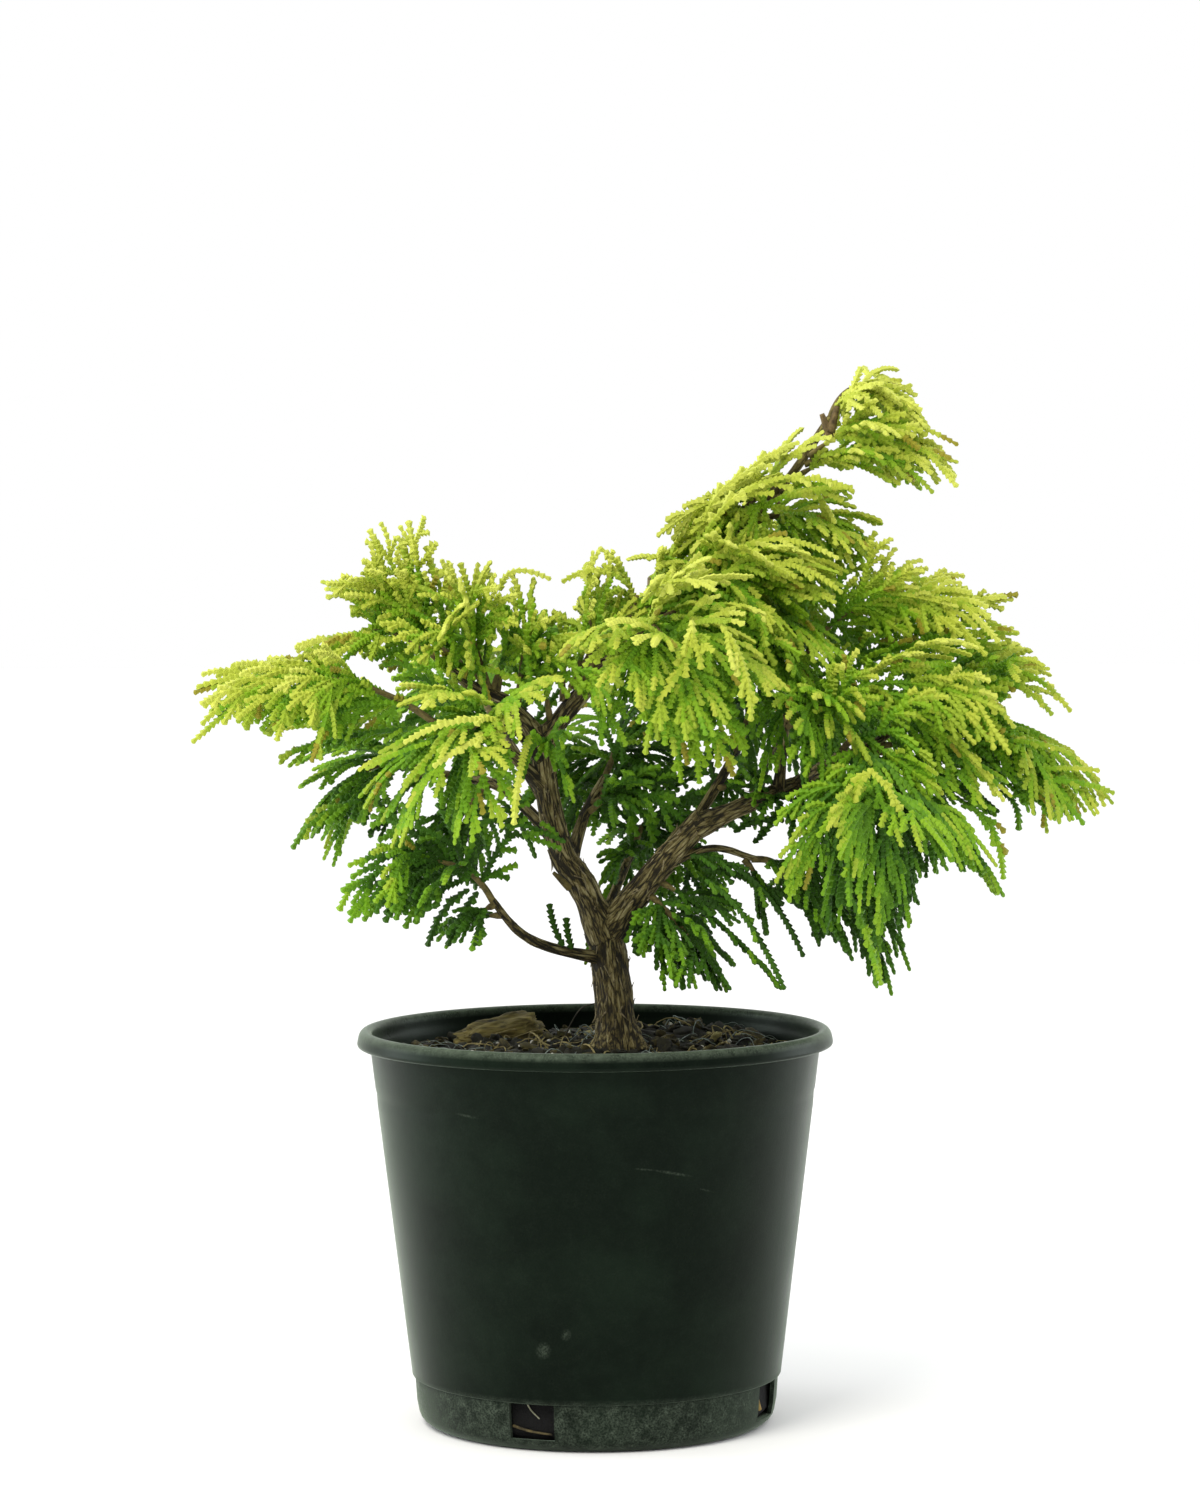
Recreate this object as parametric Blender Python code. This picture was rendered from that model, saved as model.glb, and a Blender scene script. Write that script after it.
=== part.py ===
"""Dwarf hinoki cypress in a black nursery pot, about 380 mm tall and 326 mm across its crown.

The pot stands on z = 0 with its axis on z. The side that is usually looked at faces -Y.
Lengths are written in millimetres and become metres where a mesh is made.
"""

import math

import bmesh
import bpy
import numpy as np

MM = 0.001
GAP = 0.3
UP = np.array([0.0, 0.0, 1.0])

# Pot: a turned plastic shell with a rolled rim and a narrower foot band with four drain slots.
POT_HEIGHT = 141.4
POT_SIDES = 48
RIM_RADIUS = 85.0
RIM_DROP = 6.2
RIM_LIP = 4.4
WALL = 1.5
FLOOR = 2.0
FOOT_RADIUS = 64.0
FOOT_HEIGHT = 17.6
FOOT_STEP = 1.0
FOOT_ROUND = 5.0
WALL_FOOT_RADIUS = 66.2
WALL_TOP_RADIUS = 80.4
DRAIN_WIDTH = 16.4
DRAIN_DEPTH = 12.0
DRAIN_LOW, DRAIN_HIGH = 4.4, 17.0
DRAIN_FIRST_TURN = -20.5
DRAIN_COUNT = 4

# Soil: fills the pot to just below the rim, level under the trunk and lumpy round it.
SOIL_TOP = 133.0
SOIL_LEVEL_RADIUS = 12.0
SOIL_LUMP = 2.6
SOIL_SIDES = 32
SOIL_RINGS = 4

# Limbs: all grow from the trunk, whose foot is cut level with the soil. Each row is name, parent,
# fraction along the parent, way points, base and tip radius, sides, stations.
TRUNK_FOOT = np.array([8.0, 0.0, 133.3])
LIMBS = (
    ("trunk", None, 0.0, (TRUNK_FOOT, (7, 0, 150), (5, 0, 166), (3, 0, 181)), 7.2, 6.3, 12, 9),
    ("left_stem", "trunk", 0.84, ((-4, -3, 192), (-12, -5, 206), (-17, -7, 228), (-19, -8, 250)),
     5.4, 4.0, 10, 9),
    ("right_stem", "trunk", 0.86, ((15, -4, 189), (26, -8, 203), (39, -9, 217)), 5.3, 4.2, 10, 8),
    ("leader", "left_stem", 0.93, ((-2, -9, 264), (17, -4, 283), (39, 3, 309), (67, 6, 334), (85, 8, 359)),
     3.7, 1.3, 8, 13),
    ("left_upper", "left_stem", 0.94, ((-30, -12, 258), (-42, -15, 264), (-52, -16, 271)), 3.1, 1.6, 8, 6),
    ("left_far", "left_stem", 0.74, ((-32, -18, 243), (-44, -22, 248), (-56, -24, 252)), 2.6, 1.4, 6, 5),
    ("left_mid", "left_stem", 0.52, ((-32, 14, 226), (-48, 22, 230), (-60, 26, 232)), 2.5, 1.3, 6, 5),
    ("left_low", "trunk", 0.66, ((-15, -12, 171), (-27, -20, 178), (-36, -22, 189)), 2.3, 1.3, 6, 6),
    ("mid_back", "left_stem", 0.40, ((-3, 10, 218), (4, 22, 230)), 2.6, 1.5, 6, 5),
    ("centre_back", "trunk", 0.97, ((9, 16, 193), (14, 26, 203)), 2.2, 1.3, 6, 4),
    ("right_main", "right_stem", 0.92, ((55, -8, 222), (73, 0, 229), (92, 8, 238), (104, 11, 244)),
     3.8, 1.6, 8, 8),
    ("right_upper", "right_stem", 0.84, ((46, 4, 231), (53, 14, 243)), 2.3, 1.4, 6, 5),
    ("right_riser", "right_main", 0.40, ((67, -8, 240), (68, -8, 252), (71, -5, 262)), 2.1, 1.3, 6, 5),
    ("right_low", "right_stem", 0.55, ((41, -8, 206), (58, -6, 202)), 1.7, 1.1, 6, 5),
    ("right_front", "right_main", 0.50, ((80, -22, 236), (86, -36, 241)), 2.0, 1.2, 6, 5),
    ("right_back", "right_main", 0.28, ((63, 28, 235), (70, 50, 243)), 2.2, 1.3, 6, 5),
    ("left_back", "left_stem", 0.66, ((-30, 24, 241), (-37, 44, 250)), 2.4, 1.3, 6, 5),
    ("left_front", "left_stem", 0.85, ((-28, -28, 250), (-33, -42, 252)), 2.0, 1.2, 6, 4),
    ("crown_back", "leader", 0.24, ((20, 26, 280), (24, 46, 283)), 2.2, 1.3, 6, 5),
    ("crown_front", "leader", 0.20, ((12, -28, 280), (16, -42, 283)), 2.0, 1.2, 6, 4),
)
FORK_NEIGHBOURS = {"right_stem": ("left_stem",), "centre_back": ("left_stem", "right_stem"),
                   "left_upper": ("leader",), "right_upper": ("right_main",)}
FLARE_HEIGHT = 11.0
FLARE_SHARE = 0.34

# Masses: name, limb, fraction along the limb, where its furthest tip reaches, length of its
# longest fingers, side fronds, lift of its stem, turn of its face about the stem in degrees, tone.
MASSES = (
    ("tip_shoot", "leader", 1.0, (119, 8, 357), 15, 2, 0.34, 20, "gold"),
    ("tip_fan", "leader", 0.88, (131, 10, 343), 20, 4, 0.14, 26, "gold"),
    ("leader_right", "leader", 0.72, (102, 14, 313), 20, 4, 0.22, 20, "gold"),
    ("leader_left", "leader", 0.82, (30, -16, 302), 15, 5, 0.10, -10, "gold"),
    ("leader_front", "leader", 0.54, (66, -44, 284), 24, 4, 0.24, 0, "gold"),
    ("leader_low_right", "leader", 0.44, (88, -22, 274), 20, 4, 0.28, 20, "gold"),
    ("leader_back", "leader", 0.60, (84, 58, 294), 24, 4, 0.22, 0, "gold"),
    ("crest_left", "leader", 0.28, (-14, 8, 305), 17, 4, 0.26, 15, "gold"),
    ("crest_back", "leader", 0.44, (20, 56, 300), 22, 4, 0.24, 0, "gold"),
    ("centre_front", "crown_front", 1.0, (38, -90, 250), 26, 5, 0.20, 0, "gold"),
    ("right_front_high", "right_riser", 0.66, (94, -64, 240), 24, 4, 0.36, 0, "gold"),
    ("right_crest", "right_riser", 1.0, (140, 6, 294), 24, 5, 0.14, 25, "gold"),
    ("right_shoulder", "right_main", 0.84, (175, 6, 254), 24, 6, 0.34, 30, "gold"),
    ("right_far", "right_main", 1.0, (185, -4, 221), 22, 6, 0.14, 30, "gold"),
    ("right_hang", "right_front", 1.0, (98, -68, 182), 25, 5, 0.20, 0, "green"),
    ("right_low_hang", "right_main", 0.72, (144, -28, 190), 24, 5, 0.26, 10, "green"),
    ("right_foot", "right_main", 0.58, (102, 24, 156), 22, 4, 0.10, 0, "green"),
    ("right_under", "right_low", 1.0, (70, -6, 155), 20, 4, 0.14, 0, "green"),
    ("low_fan", "right_stem", 0.40, (48, -22, 157), 20, 5, 0.06, 0, "green"),
    ("left_crest", "left_upper", 0.78, (-79, -6, 319), 18, 3, 0.02, 20, "gold"),
    ("left_top", "left_upper", 0.55, (-50, -28, 308), 20, 5, 0.02, 0, "gold"),
    ("left_inner_crest", "left_upper", 0.28, (-18, -16, 303), 17, 4, 0.20, 0, "gold"),
    ("left_gold", "left_upper", 1.0, (-105, -24, 284), 22, 5, 0.13, 28, "gold"),
    ("left_far_spray", "left_far", 1.0, (-140, -30, 263), 21, 6, 0.18, 35, "gold"),
    ("left_mid_spray", "left_mid", 1.0, (-112, 22, 202), 24, 5, 0.16, 15, "green"),
    ("left_front_spray", "left_front", 1.0, (-64, -78, 222), 24, 5, 0.14, 0, "gold"),
    ("left_low_spray", "left_low", 1.0, (-90, -30, 190), 20, 5, 0.16, 30, "green"),
    ("left_under", "left_mid", 0.45, (-62, 10, 196), 20, 4, 0.10, 0, "green"),
    ("mid_spray", "mid_back", 1.0, (-6, 72, 208), 24, 5, 0.16, 0, "green"),
    ("low_back", "centre_back", 1.0, (26, 80, 182), 24, 5, 0.16, 0, "green"),
    ("inner_spray", "right_upper", 1.0, (50, 62, 246), 24, 4, 0.20, 0, "green"),
    ("left_back_spray", "left_back", 1.0, (-76, 106, 238), 26, 5, 0.18, 0, "green"),
    ("right_back_spray", "right_back", 1.0, (114, 106, 234), 26, 5, 0.18, 0, "green"),
    ("crown_back_spray", "crown_back", 1.0, (24, 116, 262), 26, 5, 0.18, 0, "gold"),
)
STEM_RADIUS = 1.2
STEM_TIP_RADIUS = 0.7
STEM_SIDES = 4
STEM_STATIONS = 5
FROND_PITCH = 10.4
RIB_HALF_WIDTH = 0.9
RIB_HALF_DEPTH = 0.75
FINGER_DROOP = 0.24
TIP_SHARE = 0.84
ROOT_SHARE = 0.45
STEM_SHARE = 0.45
SPLIT = 0.42
SIDE_FROM = (0.08, 0.60)
TRIES = 24
APART_ENOUGH = 22.0
SPACE_STARTS = 0.15
SPACE_MARGIN = 0.9
STEM_MARGIN = 3.2
LIMB_MARGIN = 1.8
RIM_MARGIN = 4.0
REACH_SLACK = 1.001
GIRTH_SHARE = 1.25

LOOKS = {
    "pot": ((0.012, 0.018, 0.013), 0.42),
    "soil": ((0.022, 0.017, 0.008), 0.95),
    "bark": ((0.110, 0.078, 0.040), 0.90),
    "gold": ((0.520, 0.560, 0.050), 0.60),
    "green": ((0.130, 0.300, 0.020), 0.60),
}


def clear_scene():
    for thing in list(bpy.data.objects):
        bpy.data.objects.remove(thing)


def looks_of(kind):
    """The Principled material of one kind of surface, made once."""
    found = bpy.data.materials.get(kind)
    if found:
        return found
    colour, roughness = LOOKS[kind]
    material = bpy.data.materials.new(kind)
    material.use_nodes = True
    shader = material.node_tree.nodes["Principled BSDF"]
    shader.inputs["Base Color"].default_value = (*colour, 1.0)
    shader.inputs["Roughness"].default_value = roughness
    return material


def put(name, points, faces, kind, into=None):
    """Makes a mesh object from points in millimetres."""
    mesh = bpy.data.meshes.new(name)
    mesh.from_pydata([tuple(point) for point in np.asarray(points) * MM], [], faces)
    made = bpy.data.objects.new(name, mesh)
    (into or bpy.context.scene.collection).objects.link(made)
    mesh.materials.append(looks_of(kind))
    return made


def face_out(mesh):
    """Turns the faces of a closed mesh outwards."""
    form = bmesh.new()
    form.from_mesh(mesh)
    bmesh.ops.recalc_face_normals(form, faces=form.faces)
    form.to_mesh(mesh)
    form.free()


def bake_modifiers(thing):
    """Turns an object's modifiers into its own mesh."""
    graph = bpy.context.evaluated_depsgraph_get()
    mesh = bpy.data.meshes.new_from_object(thing.evaluated_get(graph))
    thing.modifiers.clear()
    thing.data = mesh


def join_by_boolean(thing, others, operation, solver="EXACT"):
    """Adds a set of closed meshes to an object, or cuts them from it, and removes them."""
    helpers = bpy.data.collections.new("helpers")
    bpy.context.scene.collection.children.link(helpers)
    for other in others:
        bpy.context.scene.collection.objects.unlink(other)
        helpers.objects.link(other)
    boolean = thing.modifiers.new("join", "BOOLEAN")
    boolean.operation = operation
    boolean.operand_type = "COLLECTION"
    boolean.collection = helpers
    boolean.solver = solver
    bake_modifiers(thing)
    for other in others:
        bpy.data.objects.remove(other)
    bpy.data.collections.remove(helpers)


def turned(name, profile, sides, kind):
    """A solid turned round z from a profile of (radius, height) that starts and ends on the axis."""
    form = bmesh.new()
    verts = [form.verts.new((r * MM, 0.0, z * MM)) for r, z in profile]
    edges = [form.edges.new(pair) for pair in zip(verts, verts[1:])]
    bmesh.ops.spin(form, geom=verts + edges, cent=(0, 0, 0), axis=(0, 0, 1), angle=2 * math.pi,
                   steps=sides, use_merge=True)
    bmesh.ops.remove_doubles(form, verts=form.verts, dist=1e-6)
    bmesh.ops.recalc_face_normals(form, faces=form.faces)
    mesh = bpy.data.meshes.new(name)
    form.to_mesh(mesh)
    form.free()
    made = bpy.data.objects.new(name, mesh)
    bpy.context.scene.collection.objects.link(made)
    mesh.materials.append(looks_of(kind))
    mesh.shade_smooth()
    mesh.set_sharp_from_angle(angle=math.radians(35))
    return made


def unit(vector):
    return vector / np.linalg.norm(vector)


def wall_radius(z):
    """Outer radius of the pot's tapering wall at a height."""
    share = (z - FOOT_HEIGHT) / (POT_HEIGHT - RIM_DROP - FOOT_HEIGHT)
    return WALL_FOOT_RADIUS + (WALL_TOP_RADIUS - WALL_FOOT_RADIUS) * share


def foot_radius(z):
    """Outer radius of the foot band at a height."""
    return FOOT_RADIUS + (WALL_FOOT_RADIUS - FOOT_STEP - FOOT_RADIUS) * z / FOOT_HEIGHT


def pot():
    """The shell: flat underside, rounded foot, step, tapering wall and rolled rim, then back inside."""
    rounding = [math.radians(a) for a in (0, 30, 60, 90)]
    centre = foot_radius(FOOT_ROUND) - FOOT_ROUND
    foot = [(centre + FOOT_ROUND * math.sin(a), FOOT_ROUND * (1 - math.cos(a))) for a in rounding]
    rim_low = POT_HEIGHT - RIM_DROP
    outside = [(0, 0), *foot, (foot_radius(FOOT_HEIGHT - 0.6), FOOT_HEIGHT - 0.6)]
    outside += [(wall_radius(z), z) for z in (FOOT_HEIGHT, 60, 100, rim_low)]
    rim = [(RIM_RADIUS - 0.8, rim_low + 0.2), (RIM_RADIUS, rim_low + 1.4)]
    rim += [(RIM_RADIUS - 0.2, POT_HEIGHT - 1.8), (RIM_RADIUS - 1.6, POT_HEIGHT - 0.2)]
    rim += [(RIM_RADIUS - 3.0, POT_HEIGHT), (RIM_RADIUS - RIM_LIP, POT_HEIGHT - 0.7)]
    rim += [(wall_radius(rim_low) - WALL, rim_low + 1.8)]
    inside = [(wall_radius(z) - WALL, z) for z in (rim_low - 1.0, 60, FOOT_HEIGHT)]
    inside += [(foot_radius(FOOT_ROUND) - WALL, FOOT_ROUND), (centre, FLOOR), (0, FLOOR)]
    shell = turned("pot", outside + rim + inside, POT_SIDES, "pot")
    for number in range(DRAIN_COUNT):
        cut_drain(shell, number)
    return shell


def cut_drain(shell, number):
    """One rectangular drain slot through the foot band."""
    turn = math.radians(DRAIN_FIRST_TURN + 360 / DRAIN_COUNT * number)
    bpy.ops.mesh.primitive_cube_add(size=1)
    slot = bpy.context.object
    slot.name = f"drain_cutter_{number}"
    slot.scale = (DRAIN_WIDTH * MM, DRAIN_DEPTH * MM, (DRAIN_HIGH - DRAIN_LOW) * MM)
    slot.rotation_euler = (0, 0, turn)
    out = FOOT_RADIUS * MM
    slot.location = (out * math.sin(turn), -out * math.cos(turn), (DRAIN_LOW + DRAIN_HIGH) / 2 * MM)
    slot.hide_render = True
    slot.display_type = "WIRE"
    boolean = shell.modifiers.new(slot.name, "BOOLEAN")
    boolean.operation = "DIFFERENCE"
    boolean.object = slot


def soil_height(x, y):
    """Lumpy ground, level near the trunk, as sums of slow waves."""
    away = np.hypot(x - TRUNK_FOOT[0], y - TRUNK_FOOT[1])
    lumps = np.sin(x / 9.0 + 1.3) * np.cos(y / 7.5 - 0.4) + 0.6 * np.sin(x / 4.7 - y / 5.9 + 2.0)
    grown = np.clip((away - SOIL_LEVEL_RADIUS) / 12.0, 0.0, 1.0)
    return SOIL_TOP + SOIL_LUMP * grown * lumps / 1.6


def soil():
    """The root ball: it follows the pot's inside with a small gap, and its top is a grid of rings."""
    sides = SOIL_SIDES
    turns = 2 * math.pi * np.arange(sides) / sides
    top_radius = wall_radius(SOIL_TOP) - WALL - 2 * GAP
    radii = [top_radius * (1 - ring / (SOIL_RINGS + 1)) for ring in range(SOIL_RINGS + 1)]
    low_radius = foot_radius(FOOT_ROUND) - WALL - 2 * GAP
    levels = [(low_radius - FOOT_ROUND, FLOOR + GAP), (low_radius, FOOT_ROUND + 2 * GAP),
              (wall_radius(FOOT_HEIGHT) - WALL - 2 * GAP, FOOT_HEIGHT + GAP)]
    rings = [np.c_[r * np.cos(turns), r * np.sin(turns), np.full(sides, z)] for r, z in levels]
    for radius in radii:
        x, y = radius * np.cos(turns), radius * np.sin(turns)
        rings.append(np.c_[x, y, soil_height(x, y)])
    points = np.vstack([*rings, [[0, 0, FLOOR + GAP]], [[0, 0, SOIL_TOP]]])
    foot, crown = len(points) - 2, len(points) - 1
    faces = [(foot, (i + 1) % sides, i) for i in range(sides)]
    faces += bridge(len(rings), sides)
    last = (len(rings) - 1) * sides
    faces += [(last + i, last + (i + 1) % sides, crown) for i in range(sides)]
    return put("soil", points, faces, "soil")


def bridge(rings, sides):
    """Quads between rings of points that follow each other, facing out for rings that rise."""
    faces = []
    for ring in range(rings - 1):
        low, high = ring * sides, (ring + 1) * sides
        for i in range(sides):
            j = (i + 1) % sides
            faces.append((low + i, low + j, high + j, high + i))
    return faces


def smooth_line(points, count):
    """Points at even parameter steps on a Catmull-Rom curve through the way points."""
    points = np.asarray(points, float)
    ends = np.vstack([2 * points[0] - points[1], points, 2 * points[-1] - points[-2]])
    at = np.linspace(0, len(points) - 1, count)
    span = np.minimum(at.astype(int), len(points) - 2)
    t = (at - span)[:, None]
    a, b, c, d = (ends[span + i] for i in range(4))
    return 0.5 * (2 * b + (c - a) * t + (2 * a - 5 * b + 4 * c - d) * t**2 + (3 * b - a - 3 * c + d) * t**3)


def frames_along(line):
    """Tangent and two cross directions at each point of a line."""
    tangent = np.gradient(line, axis=0)
    tangent /= np.linalg.norm(tangent, axis=1)[:, None]
    first = np.cross(tangent, UP)
    flat = np.linalg.norm(first, axis=1) < 0.2
    first[flat] = np.cross(tangent[flat], [0.0, 1.0, 0.0])
    first /= np.linalg.norm(first, axis=1)[:, None]
    for i in range(1, len(first)):
        if first[i] @ first[i - 1] < 0:
            first[i] = -first[i]
    return tangent, first, np.cross(tangent, first)


def tube(name, line, radii, sides, kind, level_foot=False):
    """A closed tapering tube along a line, with flat ends. radii is one row per station."""
    tangent, across, over = frames_along(line)
    turns = 2 * math.pi * np.arange(sides) / sides
    if level_foot:
        across[:2], over[:2] = (-1.0, 0.0, 0.0), (0.0, -1.0, 0.0)
    round_it = np.cos(turns)[None, :, None] * across[:, None] + np.sin(turns)[None, :, None] * over[:, None]
    points = (line[:, None] + radii[..., None] * round_it).reshape(-1, 3)
    faces = bridge(len(line), sides)
    faces.append(tuple(reversed(range(sides))))
    faces.append(tuple(range(len(points) - sides, len(points))))
    made = put(name, points, faces, kind)
    face_out(made.data)
    made.data.shade_smooth()
    made.data.set_sharp_from_angle(angle=math.radians(50))
    return made


def limb_lines():
    """Each limb's stations and radii, found from its parent."""
    lines = {}
    for name, parent, fraction, way, base_radius, tip_radius, sides, stations in LIMBS:
        if parent is None:
            points = smooth_line(way, stations)
        else:
            start = point_on(lines[parent][0], fraction)
            points = smooth_line([start, *way], stations)
        share = np.linspace(0, 1, stations)
        radii = base_radius + (tip_radius - base_radius) * share**0.8
        lines[name] = (points, radii, sides)
    return lines


def point_on(line, fraction):
    at = fraction * (len(line) - 1)
    low = min(int(at), len(line) - 2)
    return line[low] + (line[low + 1] - line[low]) * (at - low)


def limb(name, lines, grow=0.0):
    """One limb as a tube. The trunk's foot flares into root lobes, and its top is rounded over."""
    line, radii, sides = lines[name]
    ring = np.ones(sides)
    rows = np.outer(radii, ring) + grow
    if name == "trunk":
        turns = 2 * math.pi * np.arange(sides) / sides
        rise = line[:, 2] - line[0, 2]
        flare = FLARE_SHARE * np.clip(1 - rise / FLARE_HEIGHT, 0, 1) ** 1.6
        rows += radii[:, None] * flare[:, None] * (1 + 0.35 * np.cos(3 * turns + 0.8))[None, :]
    return tube(name, line, rows, sides, "bark", level_foot=name == "trunk")


def limbs(lines):
    """All limbs. Each is cut clear of its parent, and of the limbs that share its fork."""
    for name, parent, *_ in LIMBS:
        made = limb(name, lines)
        if parent is None:
            continue
        cutters = [limb(other, lines, grow=GAP) for other in (parent, *FORK_NEIGHBOURS.get(name, ()))]
        join_by_boolean(made, cutters, "DIFFERENCE")
        made.name = name


def bezier(start, middle, end, t):
    """Points of a quadratic curve."""
    t = np.atleast_1d(t)[:, None]
    return (1 - t) ** 2 * start + 2 * t * (1 - t) * middle + t**2 * end


def bezier_heading(start, middle, end, t):
    return unit(2 * (1 - t) * (middle - start) + 2 * t * (end - middle))


def mass_axis(mass, lines):
    """The quadratic curve of a mass from just clear of its limb to its furthest tip."""
    _, limb_name, fraction, reach, _, _, lift, _, _ = mass
    line, radii, _ = lines[limb_name]
    reach = np.array(reach, float)
    on_limb = point_on(line, fraction)
    along = unit(point_on(line, min(1.0, fraction + 0.02)) - point_on(line, fraction - 0.02))
    span = np.linalg.norm(reach - on_limb)
    if fraction == 1.0:
        start = on_limb + along * GAP
        middle = start + along * span * 0.42 + UP * span * lift
        return start, middle, reach
    middle = on_limb + (reach - on_limb) * 0.45 + UP * span * lift
    heading = unit(middle - on_limb)
    side = unit(heading - (heading @ along) * along)
    radius = np.interp(fraction, np.linspace(0, 1, len(radii)), radii)
    slope = abs(heading @ along)
    start = on_limb + side * (radius + GAP + (STEM_RADIUS + 0.3) * slope) + along * (heading @ along) * radius
    return start, middle, reach


def face_of(start, reach, turn, heading):
    """The direction that a mass's fronds face: up and out from the trunk, turned about its stem."""
    out = ((start + reach) / 2 - TRUNK_FOOT) * np.array([1.0, 1.0, 0.0])
    face = 0.55 * UP + 0.85 * unit(out)
    face = unit(face - (face @ heading) * heading)
    side = np.cross(heading, face)
    towards = math.copysign(1.0, side[1]) if abs(side[1]) > 1e-6 else 1.0
    angle = -math.radians(turn) * towards
    return math.cos(angle) * face + math.sin(angle) * side


def fronds_of(mass, lines, space):
    """A mass's fronds by a seeded rule.

    One goes on from the stem. Each other is the best of several tries at a side frond: the one
    that runs furthest in the mass's own room and keeps furthest from the fronds before it.
    """
    name, _, _, _, longest, count, _, turn, _ = mass
    axis = mass_axis(mass, lines)
    start, _, reach = axis
    chance = np.random.default_rng(sum(map(ord, name)))
    begin = bezier(*axis, SPLIT)[0]
    heading = bezier_heading(*axis, SPLIT)
    first = (begin, begin + heading * np.linalg.norm(reach - begin) * 0.5, reach)
    fronds = [(*first, face_of(start, reach, turn, heading), longest)]
    along = np.array([0.4, 0.6, 0.8, 1.0])
    taken = bezier(*first, along)
    for _ in range(count):
        tries = []
        for _ in range(TRIES):
            tried = side_frond(axis, first, turn, longest, chance)
            points = bezier(*tried[:3], along)
            run = np.cumprod(space.clear(name, points)).sum()
            apart = np.linalg.norm(points[:, None] - taken, axis=2).min(axis=1).mean()
            tries.append((run * APART_ENOUGH / 4 + min(apart, APART_ENOUGH), tried, points))
        _, frond, points = max(tries, key=lambda tried: tried[0])
        fronds.append(frond)
        taken = np.vstack([taken, points])
    return fronds


def side_frond(axis, first, turn, longest, chance):
    """One try at a frond that leaves the stem, or the first frond past it, and hangs from it."""
    start, _, reach = axis
    span = np.linalg.norm(reach - start)
    at = chance.uniform(*SIDE_FROM)
    curve, share = (axis, at) if at < SPLIT else (first, (at - SPLIT) / (1 - SPLIT))
    begin = bezier(*curve, share)[0]
    heading = bezier_heading(*curve, share)
    face = face_of(start, reach, turn + chance.uniform(-25, 25), heading)
    side = np.cross(heading, face)
    spread, around = math.radians(chance.uniform(32, 68)), chance.uniform(0, 2 * math.pi)
    sideways = math.cos(around) * side + 0.7 * math.sin(around) * face
    out = math.cos(spread) * heading + math.sin(spread) * sideways
    length = span * chance.uniform(0.45, 0.80)
    end = begin + out * length - UP * length * chance.uniform(0.10, 0.34)
    bend = begin + out * length * 0.5 + UP * length * 0.06
    return begin, bend, end, face, longest * chance.uniform(0.82, 1.0)


class Space:
    """The room that a mass keeps to: nearer its own axis than any other's, and clear of limbs.

    All axes and limbs are one array of short straight spans, and each line owns a run of it.
    """

    def __init__(self, lines):
        axes = [mass_axis(mass, lines) for mass in MASSES]
        outer = [bezier(*axis, np.linspace(SPACE_STARTS, 1, 9)) for axis in axes]
        roots = [bezier(*axis, np.linspace(0, SPACE_STARTS, 3)) for axis in axes]
        runs = [*outer, *roots, *(line for line, _, _ in lines.values())]
        self.names = [mass[0] for mass in MASSES]
        self.girths = [mass[4] * GIRTH_SHARE for mass in MASSES]
        self.feet = [start for start, _, _ in axes]
        self.reaches = [np.linalg.norm(reach - start) for start, _, reach in axes]
        self.starts = np.vstack([run[:-1] for run in runs])
        self.spans = np.vstack([np.diff(run, axis=0) for run in runs])
        self.firsts = np.cumsum([0, *(len(run) - 1 for run in runs)])[:-1]
        self.limb_reach = np.array([radii.mean() for _, radii, _ in lines.values()]) + LIMB_MARGIN

    def distances(self, points):
        """Shortest distance from each point to each line."""
        away = points[:, None] - self.starts
        t = np.clip((away * self.spans).sum(2) / (self.spans**2).sum(1), 0, 1)
        to_span = np.linalg.norm(away - t[..., None] * self.spans, axis=2)
        return np.minimum.reduceat(to_span, self.firsts, axis=1)

    def clear(self, name, points):
        """Whether each point lies in the mass's own room: near its axis, and no further out than its tip."""
        points = np.atleast_2d(points)
        own, count = self.names.index(name), len(self.names)
        away = self.distances(points)
        outer, roots, limbs = away[:, :count], away[:, count:2 * count], away[:, 2 * count:]
        nearest = np.delete(outer, own, axis=1).min(axis=1)
        free = nearest > outer[:, own] + 2 * SPACE_MARGIN
        free &= np.delete(roots, own, axis=1).min(axis=1) > STEM_MARGIN
        free &= (limbs > self.limb_reach).all(axis=1)
        free &= outer[:, own] < self.girths[own]
        free &= np.linalg.norm(points - self.feet[own], axis=1) < self.reaches[own] * REACH_SLACK
        over_pot = np.hypot(points[:, 0], points[:, 1]) < RIM_RADIUS + RIM_MARGIN
        return free & ~(over_pot & (points[:, 2] < POT_HEIGHT + RIM_MARGIN))


def frond_stations(frond, name, space):
    """Stations along a frond's rib, stopped where it would leave its space."""
    begin, bend, end, _, _ = frond
    length = np.linalg.norm(bend - begin) + np.linalg.norm(end - bend)
    intervals = max(2, round(length * TIP_SHARE / FROND_PITCH))
    steps = np.linspace(0, TIP_SHARE, intervals + 1)
    points = bezier(begin, bend, end, steps)
    blocked = np.flatnonzero(~space.clear(name, points[1:]))
    kept = 1 + (blocked[0] if len(blocked) else intervals)
    return steps[:kept], points[:kept]


def finger_length(longest, share):
    """Fingers are longest near the middle of the frond."""
    return longest * (0.45 + 0.55 * math.sin(math.pi * (0.15 + 0.75 * share)))


def finger_tip(root, heading, length, name, space):
    """Where a finger ends, shortened where it must be, or None where it has no room."""
    for share in (1.0, 0.8, 0.6, 0.4):
        reach = length * share
        middle = root + heading * reach / 2 - UP * reach * FINGER_DROOP / 4
        tip = root + heading * reach - UP * reach * FINGER_DROOP
        if space.clear(name, np.array([middle, tip])).all():
            return tip
    return None


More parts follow.
